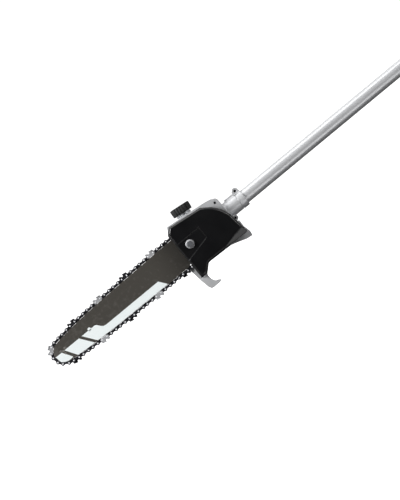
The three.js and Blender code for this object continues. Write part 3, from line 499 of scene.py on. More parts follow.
def plate(outline, y0, y1, edge=0.0, segments=1):
    """A flat plate of [x, z] points in millimetres, between two depths along Y, with soft edges."""
    form = bmesh.new()
    corners = [form.verts.new(Vector((x, y0, z)) * MM) for x, z in outline]
    face = form.faces.new(corners)
    grown = bmesh.ops.extrude_face_region(form, geom=[face])
    moved = [v for v in grown["geom"] if isinstance(v, bmesh.types.BMVert)]
    bmesh.ops.translate(form, verts=moved, vec=Vector((0, y1 - y0, 0)) * MM)
    bmesh.ops.recalc_face_normals(form, faces=form.faces)
    if edge:
        round_edges(form, edge * MM, segments, 60, keep=lambda e: is_rim(e, y0, y1))
    return form


def is_rim(edge, y0, y1):
    """Whether an edge lies in one of a plate's two faces."""
    first, second = (v.co.y / MM for v in edge.verts)
    return abs(first - second) < 1e-4 and min(abs(first - y0), abs(first - y1)) < 1e-4


def turned(profile, sides=64, tilt=None):
    """A [height, radius] profile in millimetres, spun into a closed form about the Z axis."""
    form = bmesh.new()
    spots = [form.verts.new(Vector((r, 0, h)) * MM) for h, r in profile]
    for a, b in zip(spots, spots[1:]):
        form.edges.new((a, b))
    bmesh.ops.spin(
        form, geom=form.verts[:] + form.edges[:], cent=(0, 0, 0), axis=(0, 0, 1),
        angle=2 * math.pi, steps=sides, use_merge=True, use_duplicate=False,
    )
    bmesh.ops.remove_doubles(form, verts=form.verts, dist=2e-6)
    bmesh.ops.recalc_face_normals(form, faces=form.faces)
    if tilt:
        form.transform(tilt)
    return form


def along_pole(x, y=POLE_Y, z=POLE_Z):
    """Carries a turned form's Z axis onto the pole's axis, with its zero at x millimetres."""
    return Matrix.Translation(spot(x, y, z)) @ Matrix.Rotation(math.pi / 2, 4, "Y")


def stamp(target, template, matrix):
    """Adds a copy of a template mesh to a bmesh, moved by a matrix."""
    copy = template.copy()
    copy.transform(matrix)
    target.from_mesh(copy)
    bpy.data.meshes.remove(copy)


def as_template(form):
    """A bmesh as a mesh that stamp() can copy."""
    data = bpy.data.meshes.new("template")
    form.to_mesh(data)
    form.free()
    return data


def absorb(target, form, matrix=Matrix.Identity(4)):
    """Adds one bmesh to another, moved by a matrix, and frees it."""
    template = as_template(form)
    stamp(target, template, matrix)
    bpy.data.meshes.remove(template)


def arc(cx, cz, radius, start, end, steps):
    """Points along an arc in millimetres, angles in degrees."""
    turns = [math.radians(start + (end - start) * i / steps) for i in range(steps + 1)]
    return [(cx + radius * math.cos(t), cz + radius * math.sin(t)) for t in turns]


# ---- Bar -------------------------------------------------------------------------------------
BAR_LOW, BAR_HIGH = extent("guide_bar")
BAR_HALF = (BAR_HIGH.y - BAR_LOW.y) / 2
NOSE_X = (middle("nose_sprocket").x - NUT.x) / MM
NOSE_Z = (middle("nose_sprocket").z - NUT.z) / MM
# The printed band's upper edge, the x of each slanted gap's left side at its top and foot, the gaps' width,
# and how far the foot lies below the top.
BAND_TOP = -3.2
BAND_SLANTS = ((-277.5, -262), (-240.5, -223))
SLANT_GAP = 6
SLANT_FALL = 24


def band_outlines():
    """The light band's pieces along the lower half of the bar, with slanted gaps between them."""
    lower = [(x, bar_edge_below(x)) for x in range(-288, -66, 4)]
    step = [(-207, BAND_TOP), (-204, -4.4), (-201.5, -7.6), (-199, -10.8), (-196, -13.2), (-191, -14.2),
            (-80, -14.2)]
    upper = [(-290, BAND_TOP), *step, (-70, bar_edge_below(-70))]
    beyond_left, beyond_right = (-400, -400), (1000, 1000)
    starts = [beyond_left, *[(top + SLANT_GAP, foot + SLANT_GAP) for top, foot in BAND_SLANTS]]
    ends = [*BAND_SLANTS, beyond_right]
    return [clip_slants(upper, lower, *start, *end) for start, end in zip(starts, ends)]


def bar_edge_below(x):
    """How low the light band reaches at a place along the bar."""
    return lower_path(x) + 4.1


def lower_path(x):
    """The height of the chain's lower run at x, in millimetres."""
    spots = sorted(BOTTOM_RUN)
    for (x0, z0), (x1, z1) in zip(spots, spots[1:]):
        if x0 <= x <= x1:
            return z0 + (z1 - z0) * (x - x0) / (x1 - x0)
    away = NOSE_X - x
    return NOSE_Z - math.sqrt(max(0.0, NOSE_PATH_R**2 - away**2)) if x < spots[0][0] else spots[-1][1]


def clip_slants(upper, lower, a_top, a_foot, b_top, b_foot):
    """The part of the band between two slanted lines, each given by its x at the band's top and foot."""
    outline = [*upper, *reversed(lower)]

    def cut(points, x_top, x_foot, way):
        kept = []
        slope = (x_foot - x_top) / SLANT_FALL
        sides = [((x - x_top) - slope * (BAND_TOP - z)) * way for x, z in points]
        for p, q, at_p, at_q in zip(points, points[1:] + points[:1], sides, sides[1:] + sides[:1]):
            if at_p >= 0:
                kept.append(p)
            if at_p * at_q < 0:
                t = at_p / (at_p - at_q)
                kept.append((p[0] + (q[0] - p[0]) * t, p[1] + (q[1] - p[1]) * t))
        return kept

    return cut(cut(outline, a_top, a_foot, 1), b_top, b_foot, -1)


def print_on_bar(outlines, name, look):
    """Thin printed areas on both faces of the bar, riding with it."""
    ink = bpy.context.scene.pole_saw_sizes.print_thickness / MM
    form = bmesh.new()
    for outline in outlines:
        for y0, y1 in ((-BAR_HALF - ink, -BAR_HALF + 0.02), (BAR_HALF - 0.02, BAR_HALF + ink)):
            absorb(form, plate(outline, y0, y1), Matrix.Translation(NUT))
    return show(form, name, look, BODY_OF["guide_bar"], outward=True)


class PoleSawBar(bpy.types.Operator):
    """Builds the guide bar with its printed panels, and the nose wheel with its rivets."""

    bl_idname = "pole_saw.bar"
    bl_label = "Guide bar"

    def execute(self, context):
        sizes = context.scene.pole_saw_sizes
        dressed_copy("guide_bar", "bar", sizes.machined_edge)
        print_on_bar(band_outlines(), "bar_light_band", "panel")
        dot = arc(-217.5, -2.4, 2.9, 0, 337.5, 15)
        print_on_bar([dot], "bar_light_dot", "panel")
        dressed_copy("nose_sprocket", "steel", sizes.machined_edge)
        self.nose_rivets()
        return {"FINISHED"}

    def nose_rivets(self):
        """Flush rivet heads that hold the nose together."""
        form = bmesh.new()
        head = as_template(turned([(-BAR_HALF - 0.25, 0), (-BAR_HALF - 0.2, 1.5), (-BAR_HALF, 1.9),
                                   (BAR_HALF, 1.9), (BAR_HALF + 0.2, 1.5), (BAR_HALF + 0.25, 0)], 20))
        for x, z in [(NOSE_X, NOSE_Z)] + arc(NOSE_X, NOSE_Z, 5.2, 30, 270, 2):
            stamp(form, head, Matrix.Translation(spot(x, 0, z)) @ Matrix.Rotation(math.pi / 2, 4, "X"))
        bpy.data.meshes.remove(head)
        show(form, "bar_nose_rivets", "bar", BODY_OF["guide_bar"])


# ---- Chain -----------------------------------------------------------------------------------
LINKS = 40
STRAP_SHARE = 0.54
CHAIN_START = 0.010875
NOSE_PATH_R = 21.5
DRIVE_PATH_R = 18.4
TOP_RUN = [(18, 24.6), (-8, 28.0), (-40, 28.3), (-95, 27.3), (-163, 25.6), (-201, 24.3), (-232, 22.5),
           (-256, 19.8)]
BOTTOM_RUN = [(-262, -27.2), (-243, -28.7), (-215, -29.9), (-180, -31), (-110, -31.7), (-45, -31.8),
              (-12, -30.6), (18, -22.6)]


def chain_curve(per_span=40):
    """The rivets' closed path as many short steps: over the bar, round the nose and back underneath."""
    knots = [
        *TOP_RUN,
        *arc(NOSE_X, NOSE_Z, NOSE_PATH_R, 100, 254, 7),
        *BOTTOM_RUN,
        *arc(OUTPUT_X, POLE_Z, DRIVE_PATH_R, -76, 82, 7),
    ]
    spots = [Vector(k) for k in knots]
    path = []
    for i in range(len(spots)):
        p = [spots[(i + k - 1) % len(spots)] for k in range(4)]
        gaps = [max(1e-9, (q - o).length ** 0.5) for o, q in zip(p, p[1:])]
        leave = (p[1] - p[0]) / gaps[0] - (p[2] - p[0]) / (gaps[0] + gaps[1]) + (p[2] - p[1]) / gaps[1]
        reach = (p[2] - p[1]) / gaps[1] - (p[3] - p[1]) / (gaps[1] + gaps[2]) + (p[3] - p[2]) / gaps[2]
        leave, reach = leave * gaps[1], reach * gaps[1]
        for k in range(per_span):
            t = k / per_span
            path.append(
                p[1] + leave * t
                + (p[2] * 3 - p[1] * 3 - leave * 2 - reach) * t**2
                + (p[1] * 2 - p[2] * 2 + leave + reach) * t**3
            )
    return path


class ChainPath:
    """The closed path, read by the fraction of its length."""

    def __init__(self):
        self.path = chain_curve()
        ends = self.path[1:] + self.path[:1]
        self.runs = [0.0]
        for a, b in zip(self.path, ends):
            self.runs.append(self.runs[-1] + (b - a).length)

    def at(self, fraction):
        """The point at a fraction of the loop."""
        goal = (fraction % 1) * self.runs[-1]
        low, high = 0, len(self.path)
        while high - low > 1:
            half = (low + high) // 2
            low, high = (half, high) if self.runs[half] <= goal else (low, half)
        a, b = self.path[low], self.path[(low + 1) % len(self.path)]
        return a.lerp(b, (goal - self.runs[low]) / max(1e-9, self.runs[low + 1] - self.runs[low]))

    def rivet(self, k):
        """Rivet number k; the straps are longer than the drive links."""
        step = 0 if k % 2 == 0 else 1 - STRAP_SHARE
        return self.at(CHAIN_START + (k // 2 + step) / LINKS)


def on_chord(a, b):
    """Carries along, across and outward millimetres onto the chord between two rivets."""
    along = (b - a).normalized()
    middle_spot = (a + b) / 2
    place = Matrix.Translation(spot(middle_spot.x, 0, middle_spot.y))
    turn = Matrix(((along.x, 0, along.y, 0), (0, 1, 0, 0), (along.y, 0, -along.x, 0), (0, 0, 0, 1)))
    return place @ turn


def mean_gap(path, first):
    """The mean distance between neighbouring rivets, starting at an even or odd one."""
    gaps = [(path.rivet(k + 1) - path.rivet(k)).length for k in range(first, LINKS * 2, 2)]
    return sum(gaps) / len(gaps)


def drive_link(gap):
    """A drive link: two rounded eyes joined on top, and a pointed tang below that rides in the groove."""
    half = gap / 2
    outline = [*arc(half, 0, 2.9, -62, 100, 6), (0, 1.5), *arc(-half, 0, 2.9, 80, 242, 6),
               (-3.7, -4.4), (-2.2, -6.8), (-0.4, -8.5), (1.2, -8.7), (2.6, -8.2), (3.3, -5.6), (3.9, -3.6)]
    return plate(outline, -0.5, 0.5, 0.14)


def strap(gap, y0, y1):
    """A side strap: two rounded eyes with a waist between them."""
    half = gap / 2
    outline = [*arc(half, 0, 3.1, -60, 110, 7), (half - 2.9, 1.3), (0, 0.9), (2.9 - half, 1.3),
               *arc(-half, 0, 3.1, 70, 240, 7), (1.4 - half, -3.3), (half - 1.4, -3.3)]
    return plate(outline, y0, y1, 0.16)


def cutter(gap, side):
    """A cutter link: a strap with a depth gauge in front, and a tooth whose top is folded outwards."""
    half = gap / 2
    outline = [(half - 1.4, -3.3), *arc(half, 0, 3.1, -60, -10, 3), (half + 2.8, 4.0), (half + 2.5, 5.2),
               (half + 1.4, 5.6), (half - 0.6, 5.0), (2.6, 3.2), (1.4, 2.6),
               (0.3, 3.0), (-0.5, 4.6), (-0.6, 6.15),
               (-half - 2.2, 5.2), (-half - 2.8, 3.4), *arc(-half, 0, 3.1, 185, 240, 3), (1.4 - half, -3.3)]
    wall = plate(outline, 0.62 * side, 1.9 * side, 0.14)
    top = bmesh.new()
    back, front = -half - 2.2, -0.5
    for x, z, y in ((back, 5.2, 0.62), (front + 0.7, 6.2, 0.62), (front - 1.2, 6.25, 3.35),
                    (back + 0.4, 5.2, 3.2)):
        top.verts.new(Vector((x, y * side, z)) * MM)
    face = top.faces.new(top.verts[:])
    grown = bmesh.ops.extrude_face_region(top, geom=[face])
    moved = [v for v in grown["geom"] if isinstance(v, bmesh.types.BMVert)]
    bmesh.ops.translate(top, verts=moved, vec=Vector((0, 0, -1.1)) * MM)
    bmesh.ops.recalc_face_normals(top, faces=top.faces)
    round_edges(top, 0.22 * MM, 1, 40)
    absorb(wall, top)
    return wall


class PoleSawChain(bpy.types.Operator):
    """Builds the saw chain: drive links, straps, cutters on both sides and riveted heads."""

    bl_idname = "pole_saw.chain"
    bl_label = "Saw chain"

    def execute(self, context):
        path = ChainPath()
        short, long = mean_gap(path, 0), mean_gap(path, 1)
        link = as_template(drive_link(short))
        sides = {side: as_template(strap(long, 0.62 * side, 1.9 * side)) for side in (-1, 1)}
        teeth = {side: as_template(cutter(long, side)) for side in (-1, 1)}
        links, straps = bmesh.new(), bmesh.new()
        cutters = {-1: bmesh.new(), 1: bmesh.new()}
        for i in range(LINKS):
            a, b, c = (path.rivet(2 * i + k) for k in range(3))
            stamp(links, link, on_chord(a, b))
            cutting = 0 if i % 3 or i == LINKS - 1 else (1 if i % 6 == 0 else -1)
            for side in (-1, 1):
                if side == cutting:
                    stamp(cutters[side], teeth[side], on_chord(b, c))
                else:
                    stamp(straps, sides[side], on_chord(b, c))
        for template in (link, *sides.values(), *teeth.values()):
            bpy.data.meshes.remove(template)
        body = BODY_OF["saw_chain"]
        show(links, "chain_drive_links", "chain", body, "saw_chain", outward=True)
        show(straps, "chain_straps", "chain", body, outward=True)
        show(cutters[-1], "chain_cutters_right", "cutter", body, outward=True)
        show(cutters[1], "chain_cutters_left", "chain", body, outward=True)
        self.rivets(path, context.scene.pole_saw_sizes.rivet_dome / MM)
        return {"FINISHED"}

    def rivets(self, path, dome):
        """Domed rivet heads on both sides of every joint of the chain."""
        form = bmesh.new()
        head = as_template(turned([(-1.9 - dome, 0), (-1.9 - dome * 0.75, 1.0), (-1.8, 1.55), (1.8, 1.55),
                                   (1.9 + dome * 0.75, 1.0), (1.9 + dome, 0)], 10))
        for k in range(LINKS * 2):
            at = path.rivet(k)
            seat = Matrix.Translation(spot(at.x, 0, at.y))
            stamp(form, head, seat @ Matrix.Rotation(math.pi / 2, 4, "X"))
        bpy.data.meshes.remove(head)
        show(form, "chain_rivets", "rivet", BODY_OF["saw_chain"])


# ---- Gear housing ----------------------------------------------------------------------------
class PoleSawHousing(bpy.types.Operator):
    """Finishes the cast gear housing, its screws, the branch hook and the clamp on the pole."""

    bl_idname = "pole_saw.housing"
    bl_label = "Gear housing"

    def execute(self, context):
        sizes = context.scene.pole_saw_sizes
        for node in ("gearbox_inner_half", "gearbox_outer_half", "tube_clamp_ring"):
            dressed_copy(node, "casting", sizes.casting_edge, 3)
        # Painted shade: the screws' dark steel makes their ends read as shade in the lug holes.
        for node in ("housing_screw_top", "housing_screw_rear", "housing_screw_front", "tube_clamp_screw"):
            dressed_copy(node, "black_steel_and_hole_shade", sizes.machined_edge)
        return {"FINISHED"}


# ---- Sprocket cover --------------------------------------------------------------------------
class PoleSawCover(bpy.types.Operator):
    """Finishes the moulded sprocket cover, its nut and stud, and the chain tensioner."""

    bl_idname = "pole_saw.cover"
    bl_label = "Sprocket cover"

    def execute(self, context):
        sizes = context.scene.pole_saw_sizes
        dressed_copy("sprocket_cover", "cover", sizes.cover_edge, 3)
        for node in ("bar_stud", "bar_nut_washer", "tension_block", "tension_screw"):
            dressed_copy(node, "steel", sizes.machined_edge)
        self.nut()
        return {"FINISHED"}

    def nut(self):
        """The flange nut: a sloping flange bright as painted highlight, a soft-edged hexagon darker as
        painted shade.
        """
        low, high = extent("bar_nut")
        seat = Matrix.Translation(spot(0, high.y, 0))
        tall, reach = high.y - low.y, (high.x - low.x) / 2
        profile = [(0, 4.3), (0, reach), (0.7, reach), (1.1, reach - 0.4), (2.4, 5.6), (2.4, 4.3), (0, 4.3)]
        flange = turned(profile, 48, seat @ Matrix.Rotation(math.pi / 2, 4, "X"))
        # Painted highlight: the flange takes the bright cutter steel, though the nut is one piece of one
        # steel.
        show(flange, "bar_nut_flange", "cutter", BODY_OF["bar_nut"], "bar_nut")
        hexagon = plate(arc(0, 0, 5.6, 0, 300, 5), -tall, -1.6, 0.5, 2)
        hexagon.transform(seat)
        # Painted shade: the hexagon takes a darker steel than the flange.
        show(hexagon, "bar_nut_hexagon", "shaded", BODY_OF["bar_nut"],
             outward=True)


# ---- Oil neck and cap ------------------------------------------------------------------------
# Where the neck meets the casting, in millimetres, and how far its axis leans back, in degrees.
NECK_X, NECK_SEAT, NECK_TILT = 23.2, 40.6, 6.6
# How far the rim stands out at six steps round a flute, from its bottom (0) to its ridge (1).
FLUTE_WAVE = (0, 0.75, 1, 1, 1, 0.75)


def neck_place():
    """Carries a form whose axis is Z, with its zero where the neck meets the casting, onto the neck."""
    lean = Matrix.Rotation(math.radians(NECK_TILT), 4, "Y")
    return Matrix.Translation(spot(NECK_X, POLE_Y, NECK_SEAT)) @ lean


def fluted_ring(outer, inner, flutes, heights):
    """A form about Z whose rim is cut by flutes: each height gets its own share of the flutes' depth."""
    form = bmesh.new()
    loops = []
    steps = flutes * len(FLUTE_WAVE)
    for height, reach, share in heights:
        loop = []
        for i in range(steps):
            r = reach - (outer - inner) * (1 - FLUTE_WAVE[i % len(FLUTE_WAVE)]) * share
            turn = 2 * math.pi * i / steps
            loop.append(form.verts.new(Vector((r * math.cos(turn), r * math.sin(turn), height)) * MM))
        loops.append(loop)
    rims = [[form.edges.new((a, b)) for a, b in zip(loop, loop[1:] + loop[:1])] for loop in loops]
    for low, high in zip(rims, rims[1:]):
        bmesh.ops.bridge_loops(form, edges=low + high)
    for rim in (rims[0], rims[-1]):
        bmesh.ops.contextual_create(form, geom=rim)
    bmesh.ops.recalc_face_normals(form, faces=form.faces)
    return form


class PoleSawOil(bpy.types.Operator):
    """Builds the oil tank's ribbed neck and its fluted screw cap."""

    bl_idname = "pole_saw.oil"
    bl_label = "Oil cap"

    def execute(self, context):
        self.neck()
        self.cap()
        repaint("oil_cap_plug", "black")
        return {"FINISHED"}

    def neck(self):
        """The machined neck: a ribbed foot, a collar, and the plain mouth that the plug fits."""
        foot = [(-5.5, 12.4, 1), (-0.4, 12.4, 1), (2.9, 12.4, 1), (3.3, 11.9, 1)]
        form = fluted_ring(12.5, 12.0, 44, foot)
        absorb(form, turned([(3.2, 0), (3.2, 13.4), (3.4, 13.8), (4.0, 13.8), (4.3, 13.4), (4.3, 12.5),
                             (9.0, 12.5), (9.4, 12.1), (9.4, 8.5), (5.0, 8.5), (5.0, 0)], 64))
        form.transform(neck_place())
        show(form, "oil_neck_ribbed", "steel", BODY_OF["oil_neck"], "oil_neck")

    def cap(self):
        """The screw cap: deep flutes round the side, a chamfered rim and a dished top with a ring."""
        heights = [(6.4, 16.6, 0.9), (7.0, 17.4, 1), (12.0, 17.8, 1), (18.4, 17.9, 1), (19.5, 17.2, 0.9),
                   (19.8, 16.3, 0.4), (19.8, 14.2, 0), (18.9, 13.5, 0), (18.7, 9.6, 0), (19.4, 9.0, 0),
                   (19.4, 7.6, 0), (18.6, 7.0, 0)]
        form = fluted_ring(17.9, 16.5, 20, heights)
        form.transform(neck_place())
        show(form, "oil_cap_fluted", "black", BODY_OF["oil_cap"], "oil_cap", smooth=50)


# ---- Pole ------------------------------------------------------------------------------------
def tube(node, sides=96):
    """A drawn tube with broken edges, the CAD tube's size."""
    low, high = extent(node)
    outer = (high.z - low.z) / 2
    bore = outer - 1.6
    run = high.x - low.x
    profile = [(0, bore + 0.3), (0.3, bore), (run - 0.3, bore), (run, bore + 0.3), (run, outer - 0.4),
               (run - 0.4, outer), (0.4, outer), (0, outer - 0.4), (0, bore + 0.3)]
    return show(turned(profile, sides, along_pole(low.x)), f"{node}_drawn", "tube", BODY_OF[node], node)


class PoleSawPole(bpy.types.Operator):
    """Builds the two tubes, the lock collar with its lever, the foam grip and the strap eye."""

    bl_idname = "pole_saw.pole"
    bl_label = "Telescopic pole"

    def execute(self, context):
        sizes = context.scene.pole_saw_sizes
        tube("front_tube")
        tube("rear_tube")
        dressed_copy("lock_collar", "black", sizes.moulded_edge)
        dressed_copy("lock_lever", "accent", sizes.moulded_edge)
        dressed_copy("lock_lever_pin", "steel", sizes.machined_edge)
        dressed_copy("strap_band", "black", sizes.moulded_edge)
        dressed_copy("strap_ring", "steel", sizes.machined_edge)
        self.grip()
        for node in ("shaft_bush_1", "shaft_bush_2", "shaft_bush_3", "tube_slide_bush"):
            repaint(node, "black")
        return {"FINISHED"}

    def grip(self):
        """The foam sleeve, slightly crowned, with rolled ends."""
        low, high = extent("foam_grip")
        outer = (high.z - low.z) / 2
        run = high.x - low.x
        bore = (extent("rear_tube")[1].z - extent("rear_tube")[0].z) / 2 + 0.1
        ends = [(6 - 6 * math.cos(t), outer - 5 + 5 * math.sin(t)) for t in
                [math.radians(15 * i) for i in range(7)]]
        body = [(run * k / 24, outer - 0.25 * math.cos(k * math.pi)) for k in range(1, 24)]
        far_ends = [(run - x, r) for x, r in reversed(ends)]
        profile = [(0, bore), *ends, *body, *far_ends, (run, bore), (0, bore)]
        piece = show(turned(profile, 64, along_pole(low.x)), "foam_sleeve", "foam", BODY_OF["foam_grip"],
                     "foam_grip")


# ---- Power unit ------------------------------------------------------------------------------
# Screws in each shell, in millimetres behind the shell's front and above the pole's axis.
SHELL_SCREWS = ((14, 0), (108, 0), (133, -43), (209.5, -43))


def outward_of_pole(face):
    """Whether a face of a shell looks away from the pole's axis rather than into the shell."""
    centre = face.calc_center_median()
    axis = spot(0, POLE_Y, POLE_Z)
    away = Vector((0, centre.y - axis.y, centre.z - axis.z))
    return face.normal.dot(away.normalized()) > 0.35


class PoleSawPower(bpy.types.Operator):
    """Finishes the power unit: both shells, trigger, lock-off button, battery and latch."""

    bl_idname = "pole_saw.power"
    bl_label = "Power unit"

    def execute(self, context):
        sizes = context.scene.pole_saw_sizes
        for node in ("power_housing_left", "power_housing_right"):
            dressed_copy(node, "grey", sizes.moulded_edge)
        for node, look in (("trigger", "accent"), ("lock_off_button", "accent"), ("battery_pack", "black"),
                           ("battery_latch", "accent"), ("battery_rail", "black")):
            dressed_copy(node, look, sizes.moulded_edge)
        self.battery_ribs()
        for node in ("power_housing_left", "power_housing_right"):
            self.shell_screws(node)
            self.soft_grip(node)
        return {"FINISHED"}

    def battery_ribs(self):
        """Grip ribs along both sides of the battery."""
        low, high = extent("battery_pack")
        heart = (low.z + high.z) / 2
        form = bmesh.new()
        for k in range(-2, 3):
            rib = [(low.x + 20, heart + 8 * k - 1.6), (high.x - 16, heart + 8 * k - 1.6),
                   (high.x - 16, heart + 8 * k + 1.6), (low.x + 20, heart + 8 * k + 1.6)]
            for y0, y1 in ((low.y - 0.9, low.y + 0.6), (high.y - 0.6, high.y + 0.9)):
                absorb(form, plate(rib, y0, y1, 0.5, 2), Matrix.Translation(NUT))
        show(form, "battery_side_ribs", "rubber", BODY_OF["battery_pack"],
             outward=True)

    def shell_screws(self, node):
        """Recessed screws that hold the two shells together, each seated on the shell's own surface."""
        low, high = extent(node)
        near = low.y + high.y < 2 * POLE_Y
        side = -1 if near else 1
        surface = BVHTree.FromBMesh(cad_copy(node))
        form = bmesh.new()
        head = as_template(turned([(-1.5, 0), (-1.5, 2.9), (0.25, 2.9), (0.5, 2.6), (0.5, 1.3), (-0.4, 1.1),
                                   (-0.4, 0)], 20))
        for x, z in SHELL_SCREWS:
            start = spot(low.x + x, POLE_Y + side * 200, POLE_Z + z)
            hit = surface.ray_cast(start, Vector((0, -side, 0)))[0]
            if hit:
                stamp(form, head, Matrix.Translation(hit) @ Matrix.Rotation(-side * math.pi / 2, 4, "X"))
        bpy.data.meshes.remove(head)
        show(form, f"{node}_screws", "black_steel_and_hole_shade", BODY_OF[node])

    def soft_grip(self, node):
        """The rubber moulded over the upper half of the rear handle."""
        start, end = extent("lock_off_button")[1].x + 9, extent("battery_rail")[0].x - 30
        form = cad_copy(node)
        for place, way in ((spot(start, 0, 0), (-1, 0, 0)), (spot(end, 0, 0), (1, 0, 0)),
                           (spot(0, 0, POLE_Z - 3), (0, 0, -1))):
            bmesh.ops.bisect_plane(form, geom=form.verts[:] + form.edges[:] + form.faces[:], plane_co=place,
                                   plane_no=way, clear_outer=True)
        inner = [face for face in form.faces if not outward_of_pole(face)]
        bmesh.ops.delete(form, geom=inner, context="FACES")
        bmesh.ops.solidify(form, geom=form.faces[:], thickness=-0.8 * MM)
        show(form, f"{node}_soft_grip", "rubber", BODY_OF[node], outward=True)


# ---- Drive inside the housings ---------------------------------------------------------------
class PoleSawDrive(bpy.types.Operator):
    """Gives the shafts, gears, bearings, motor and oil pump their materials."""

    bl_idname = "pole_saw.drive"
    bl_label = "Drive line"

    def execute(self, context):
        for look, nodes in (
            ("steel", ("drive_sprocket", "retaining_clip", "output_shaft", "bevel_wheel", "bevel_pinion",
                       "output_bearing_front", "output_bearing_rear", "pinion_bearing_front",
                       "pinion_bearing_rear", "oil_pump_plunger", "front_drive_shaft", "rear_drive_sleeve",
                       "motor_rotor")),
            ("rubber", ("oil_pickup",)),
            ("brass", ("oil_pump_body", "pump_worm")),
            ("copper", ("motor_stator",)),
            ("black", ("drive_coupling", "switch_module")),
            ("board", ("control_board",)),
        ):
            for node in nodes:
                repaint(node, look)
        return {"FINISHED"}


# ---- Stage -----------------------------------------------------------------------------------
# Name, place in metres, size in metres and power in watts of each soft light.
SOFTBOXES = (
    ("Overhead softbox", (-0.5, -0.5, 2.6), (3.4, 1.2), 26),
    ("Upper left softbox", (-3.2, -2.6, 2.2), (1.6, 1.6), 170),
    ("Right fill", (3.0, -2.8, 1.2), (1.8, 1.8), 62),
    ("Near left strip", (-1.35, -0.8, 0.75), (0.3, 0.5), 1.6),
    ("Low front card", (-0.1, -2.1, -1.9), (2.2, 1.4), 14),
)
# The paper's flat reach, the radius of its bend and the height of its wall, in metres.
PAPER_FLAT, PAPER_BEND, PAPER_TOP = 24, 2, 12
# How bright the surround is, from straight below to straight above and from in front to behind.
SURROUND_BY_HEIGHT = [(0.0, 0.06), (0.42, 0.12), (0.52, 0.4), (0.7, 0.7), (1.0, 0.75)]
SURROUND_BY_DEPTH = [(0.0, 0.04), (0.2, 0.3), (0.6, 1.0)]


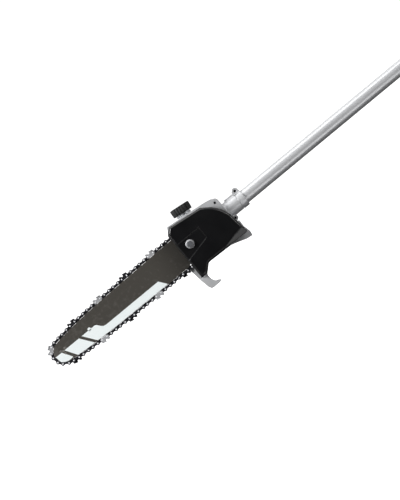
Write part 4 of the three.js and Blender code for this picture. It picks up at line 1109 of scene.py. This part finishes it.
class PoleSawStage(bpy.types.Operator):
    """Sets out the paper floor and backdrop, the soft lights and the camera."""

    bl_idname = "pole_saw.stage"
    bl_label = "Studio"

    def execute(self, context):
        self.paper()
        self.lights(context)
        self.camera(context)
        return {"FINISHED"}

    def paper(self):
        """A pale floor that sweeps up all round into a wall, far enough off to stand a camera inside."""
        turns = [math.radians(7.5 * i) for i in range(13)]
        bend = [(PAPER_BEND * (1 - math.cos(t)), PAPER_FLAT + PAPER_BEND * math.sin(t)) for t in turns]
        profile = [(0, 0), *bend, (PAPER_TOP, PAPER_FLAT + PAPER_BEND)]
        form = turned([(height / MM, reach / MM) for height, reach in profile], 96)
        bmesh.ops.reverse_faces(form, faces=form.faces)
        for face in form.faces:
            face.smooth = True
        data = bpy.data.meshes.new("paper_sweep")
        form.to_mesh(data)
        form.free()
        data.materials.append(material("paper"))
        sheet = bpy.data.objects.new("paper_sweep", data)
        bpy.context.scene.collection.objects.link(sheet)
        sheet.visible_glossy = False
        sheet.visible_diffuse = False
        sheet.visible_shadow = False
        sheet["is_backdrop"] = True

    def lights(self, context):
        """Large soft lights above and to the sides, in a surround that is bright above and dim below."""
        world = bpy.data.worlds.new("Studio surround")
        world.use_nodes = True
        tree = world.node_tree
        way = add_node(tree, "ShaderNodeTexCoord")
        split = add_node(tree, "ShaderNodeSeparateXYZ", links={"Vector": way.outputs["Generated"]})
        height = add_node(tree, "ShaderNodeMapRange", {"From Min": -1.0}, {"Value": split.outputs["Z"]})
        depth = add_node(tree, "ShaderNodeMapRange", {"From Min": -1.0}, {"Value": split.outputs["Y"]})
        by_height = add_node(tree, "ShaderNodeValToRGB", {"stops": SURROUND_BY_HEIGHT},
                             {"Fac": height.outputs["Result"]})
        by_depth = add_node(tree, "ShaderNodeValToRGB", {"stops": SURROUND_BY_DEPTH},
                            {"Fac": depth.outputs["Result"]})
        add_node(tree, "ShaderNodeMix", {"data_type": "RGBA", "blend_type": "MULTIPLY", "Factor": 1.0},
                 {MIX_FIRST: by_height.outputs["Color"], MIX_SECOND: by_depth.outputs["Color"]},
                 {MIX_RESULT: tree.nodes["Background"].inputs["Color"]})
        context.scene.world = world
        low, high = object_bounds()
        centre = (low + high) / 2
        for name, place, size, power in SOFTBOXES:
            data = bpy.data.lights.new(name, "AREA")
            data.shape = "RECTANGLE"
            data.size, data.size_y = size
            data.energy = power
            lamp = bpy.data.objects.new(name, data)
            aim = (Vector((centre.x - 0.3, centre.y, 0.1)) - Vector(place)).to_track_quat("-Z", "Y")
            lamp.matrix_world = Matrix.Translation(place) @ aim.to_matrix().to_4x4()
            context.scene.collection.objects.link(lamp)

    def camera(self, context):
        """A long lens looking square at the saw, rolled so that the pole falls away to the right."""
        data = bpy.data.cameras.new("Camera")
        data.lens = 200
        data.sensor_width = 36
        frame_height = 0.825
        distance = frame_height * data.lens / data.sensor_width
        seat = bpy.data.objects.new("Camera", data)
        target = spot(6.4, 0, -18.1)
        roll = Matrix.Rotation(math.radians(-39.6), 4, "Z")
        upright = Matrix.Rotation(math.radians(90), 4, "X")
        seat.matrix_world = Matrix.Translation(target + Vector((0, -distance, 0))) @ upright @ roll
        context.scene.collection.objects.link(seat)
        context.scene.camera = seat
        context.scene.view_settings.view_transform = "Standard"


class PoleSawPanel(bpy.types.Panel):
    """Lists the saw's sizes, colours and builders."""

    bl_idname = "VIEW3D_PT_pole_saw"
    bl_label = "Pole Saw"
    bl_space_type = "VIEW_3D"
    bl_region_type = "UI"
    bl_category = "Pole Saw"

    def draw(self, context):
        for settings in (context.scene.pole_saw_sizes, context.scene.pole_saw_colours):
            for name in settings.__annotations__:
                self.layout.prop(settings, name)
        for operator in OPERATORS:
            self.layout.operator(operator.bl_idname)


OPERATORS = (PoleSawStage, PoleSawBar, PoleSawChain, PoleSawHousing, PoleSawCover, PoleSawOil, PoleSawPole,
             PoleSawPower, PoleSawDrive)
CLASSES = (PoleSawSizes, PoleSawColours, *OPERATORS, PoleSawPanel)


def register():
    """Registers the classes and hangs the settings on the scene."""
    for item in CLASSES:
        bpy.utils.register_class(item)
    bpy.types.Scene.pole_saw_sizes = bpy.props.PointerProperty(type=PoleSawSizes)
    bpy.types.Scene.pole_saw_colours = bpy.props.PointerProperty(type=PoleSawColours)


def unregister():
    """Takes the settings and classes away again."""
    del bpy.types.Scene.pole_saw_colours
    del bpy.types.Scene.pole_saw_sizes
    for item in reversed(CLASSES):
        bpy.utils.unregister_class(item)


def main():
    """Builds everything in order."""
    register()
    for operator in OPERATORS:
        getattr(bpy.ops.pole_saw, operator.bl_idname.split(".")[1])()


if __name__ == "__main__":
    main()
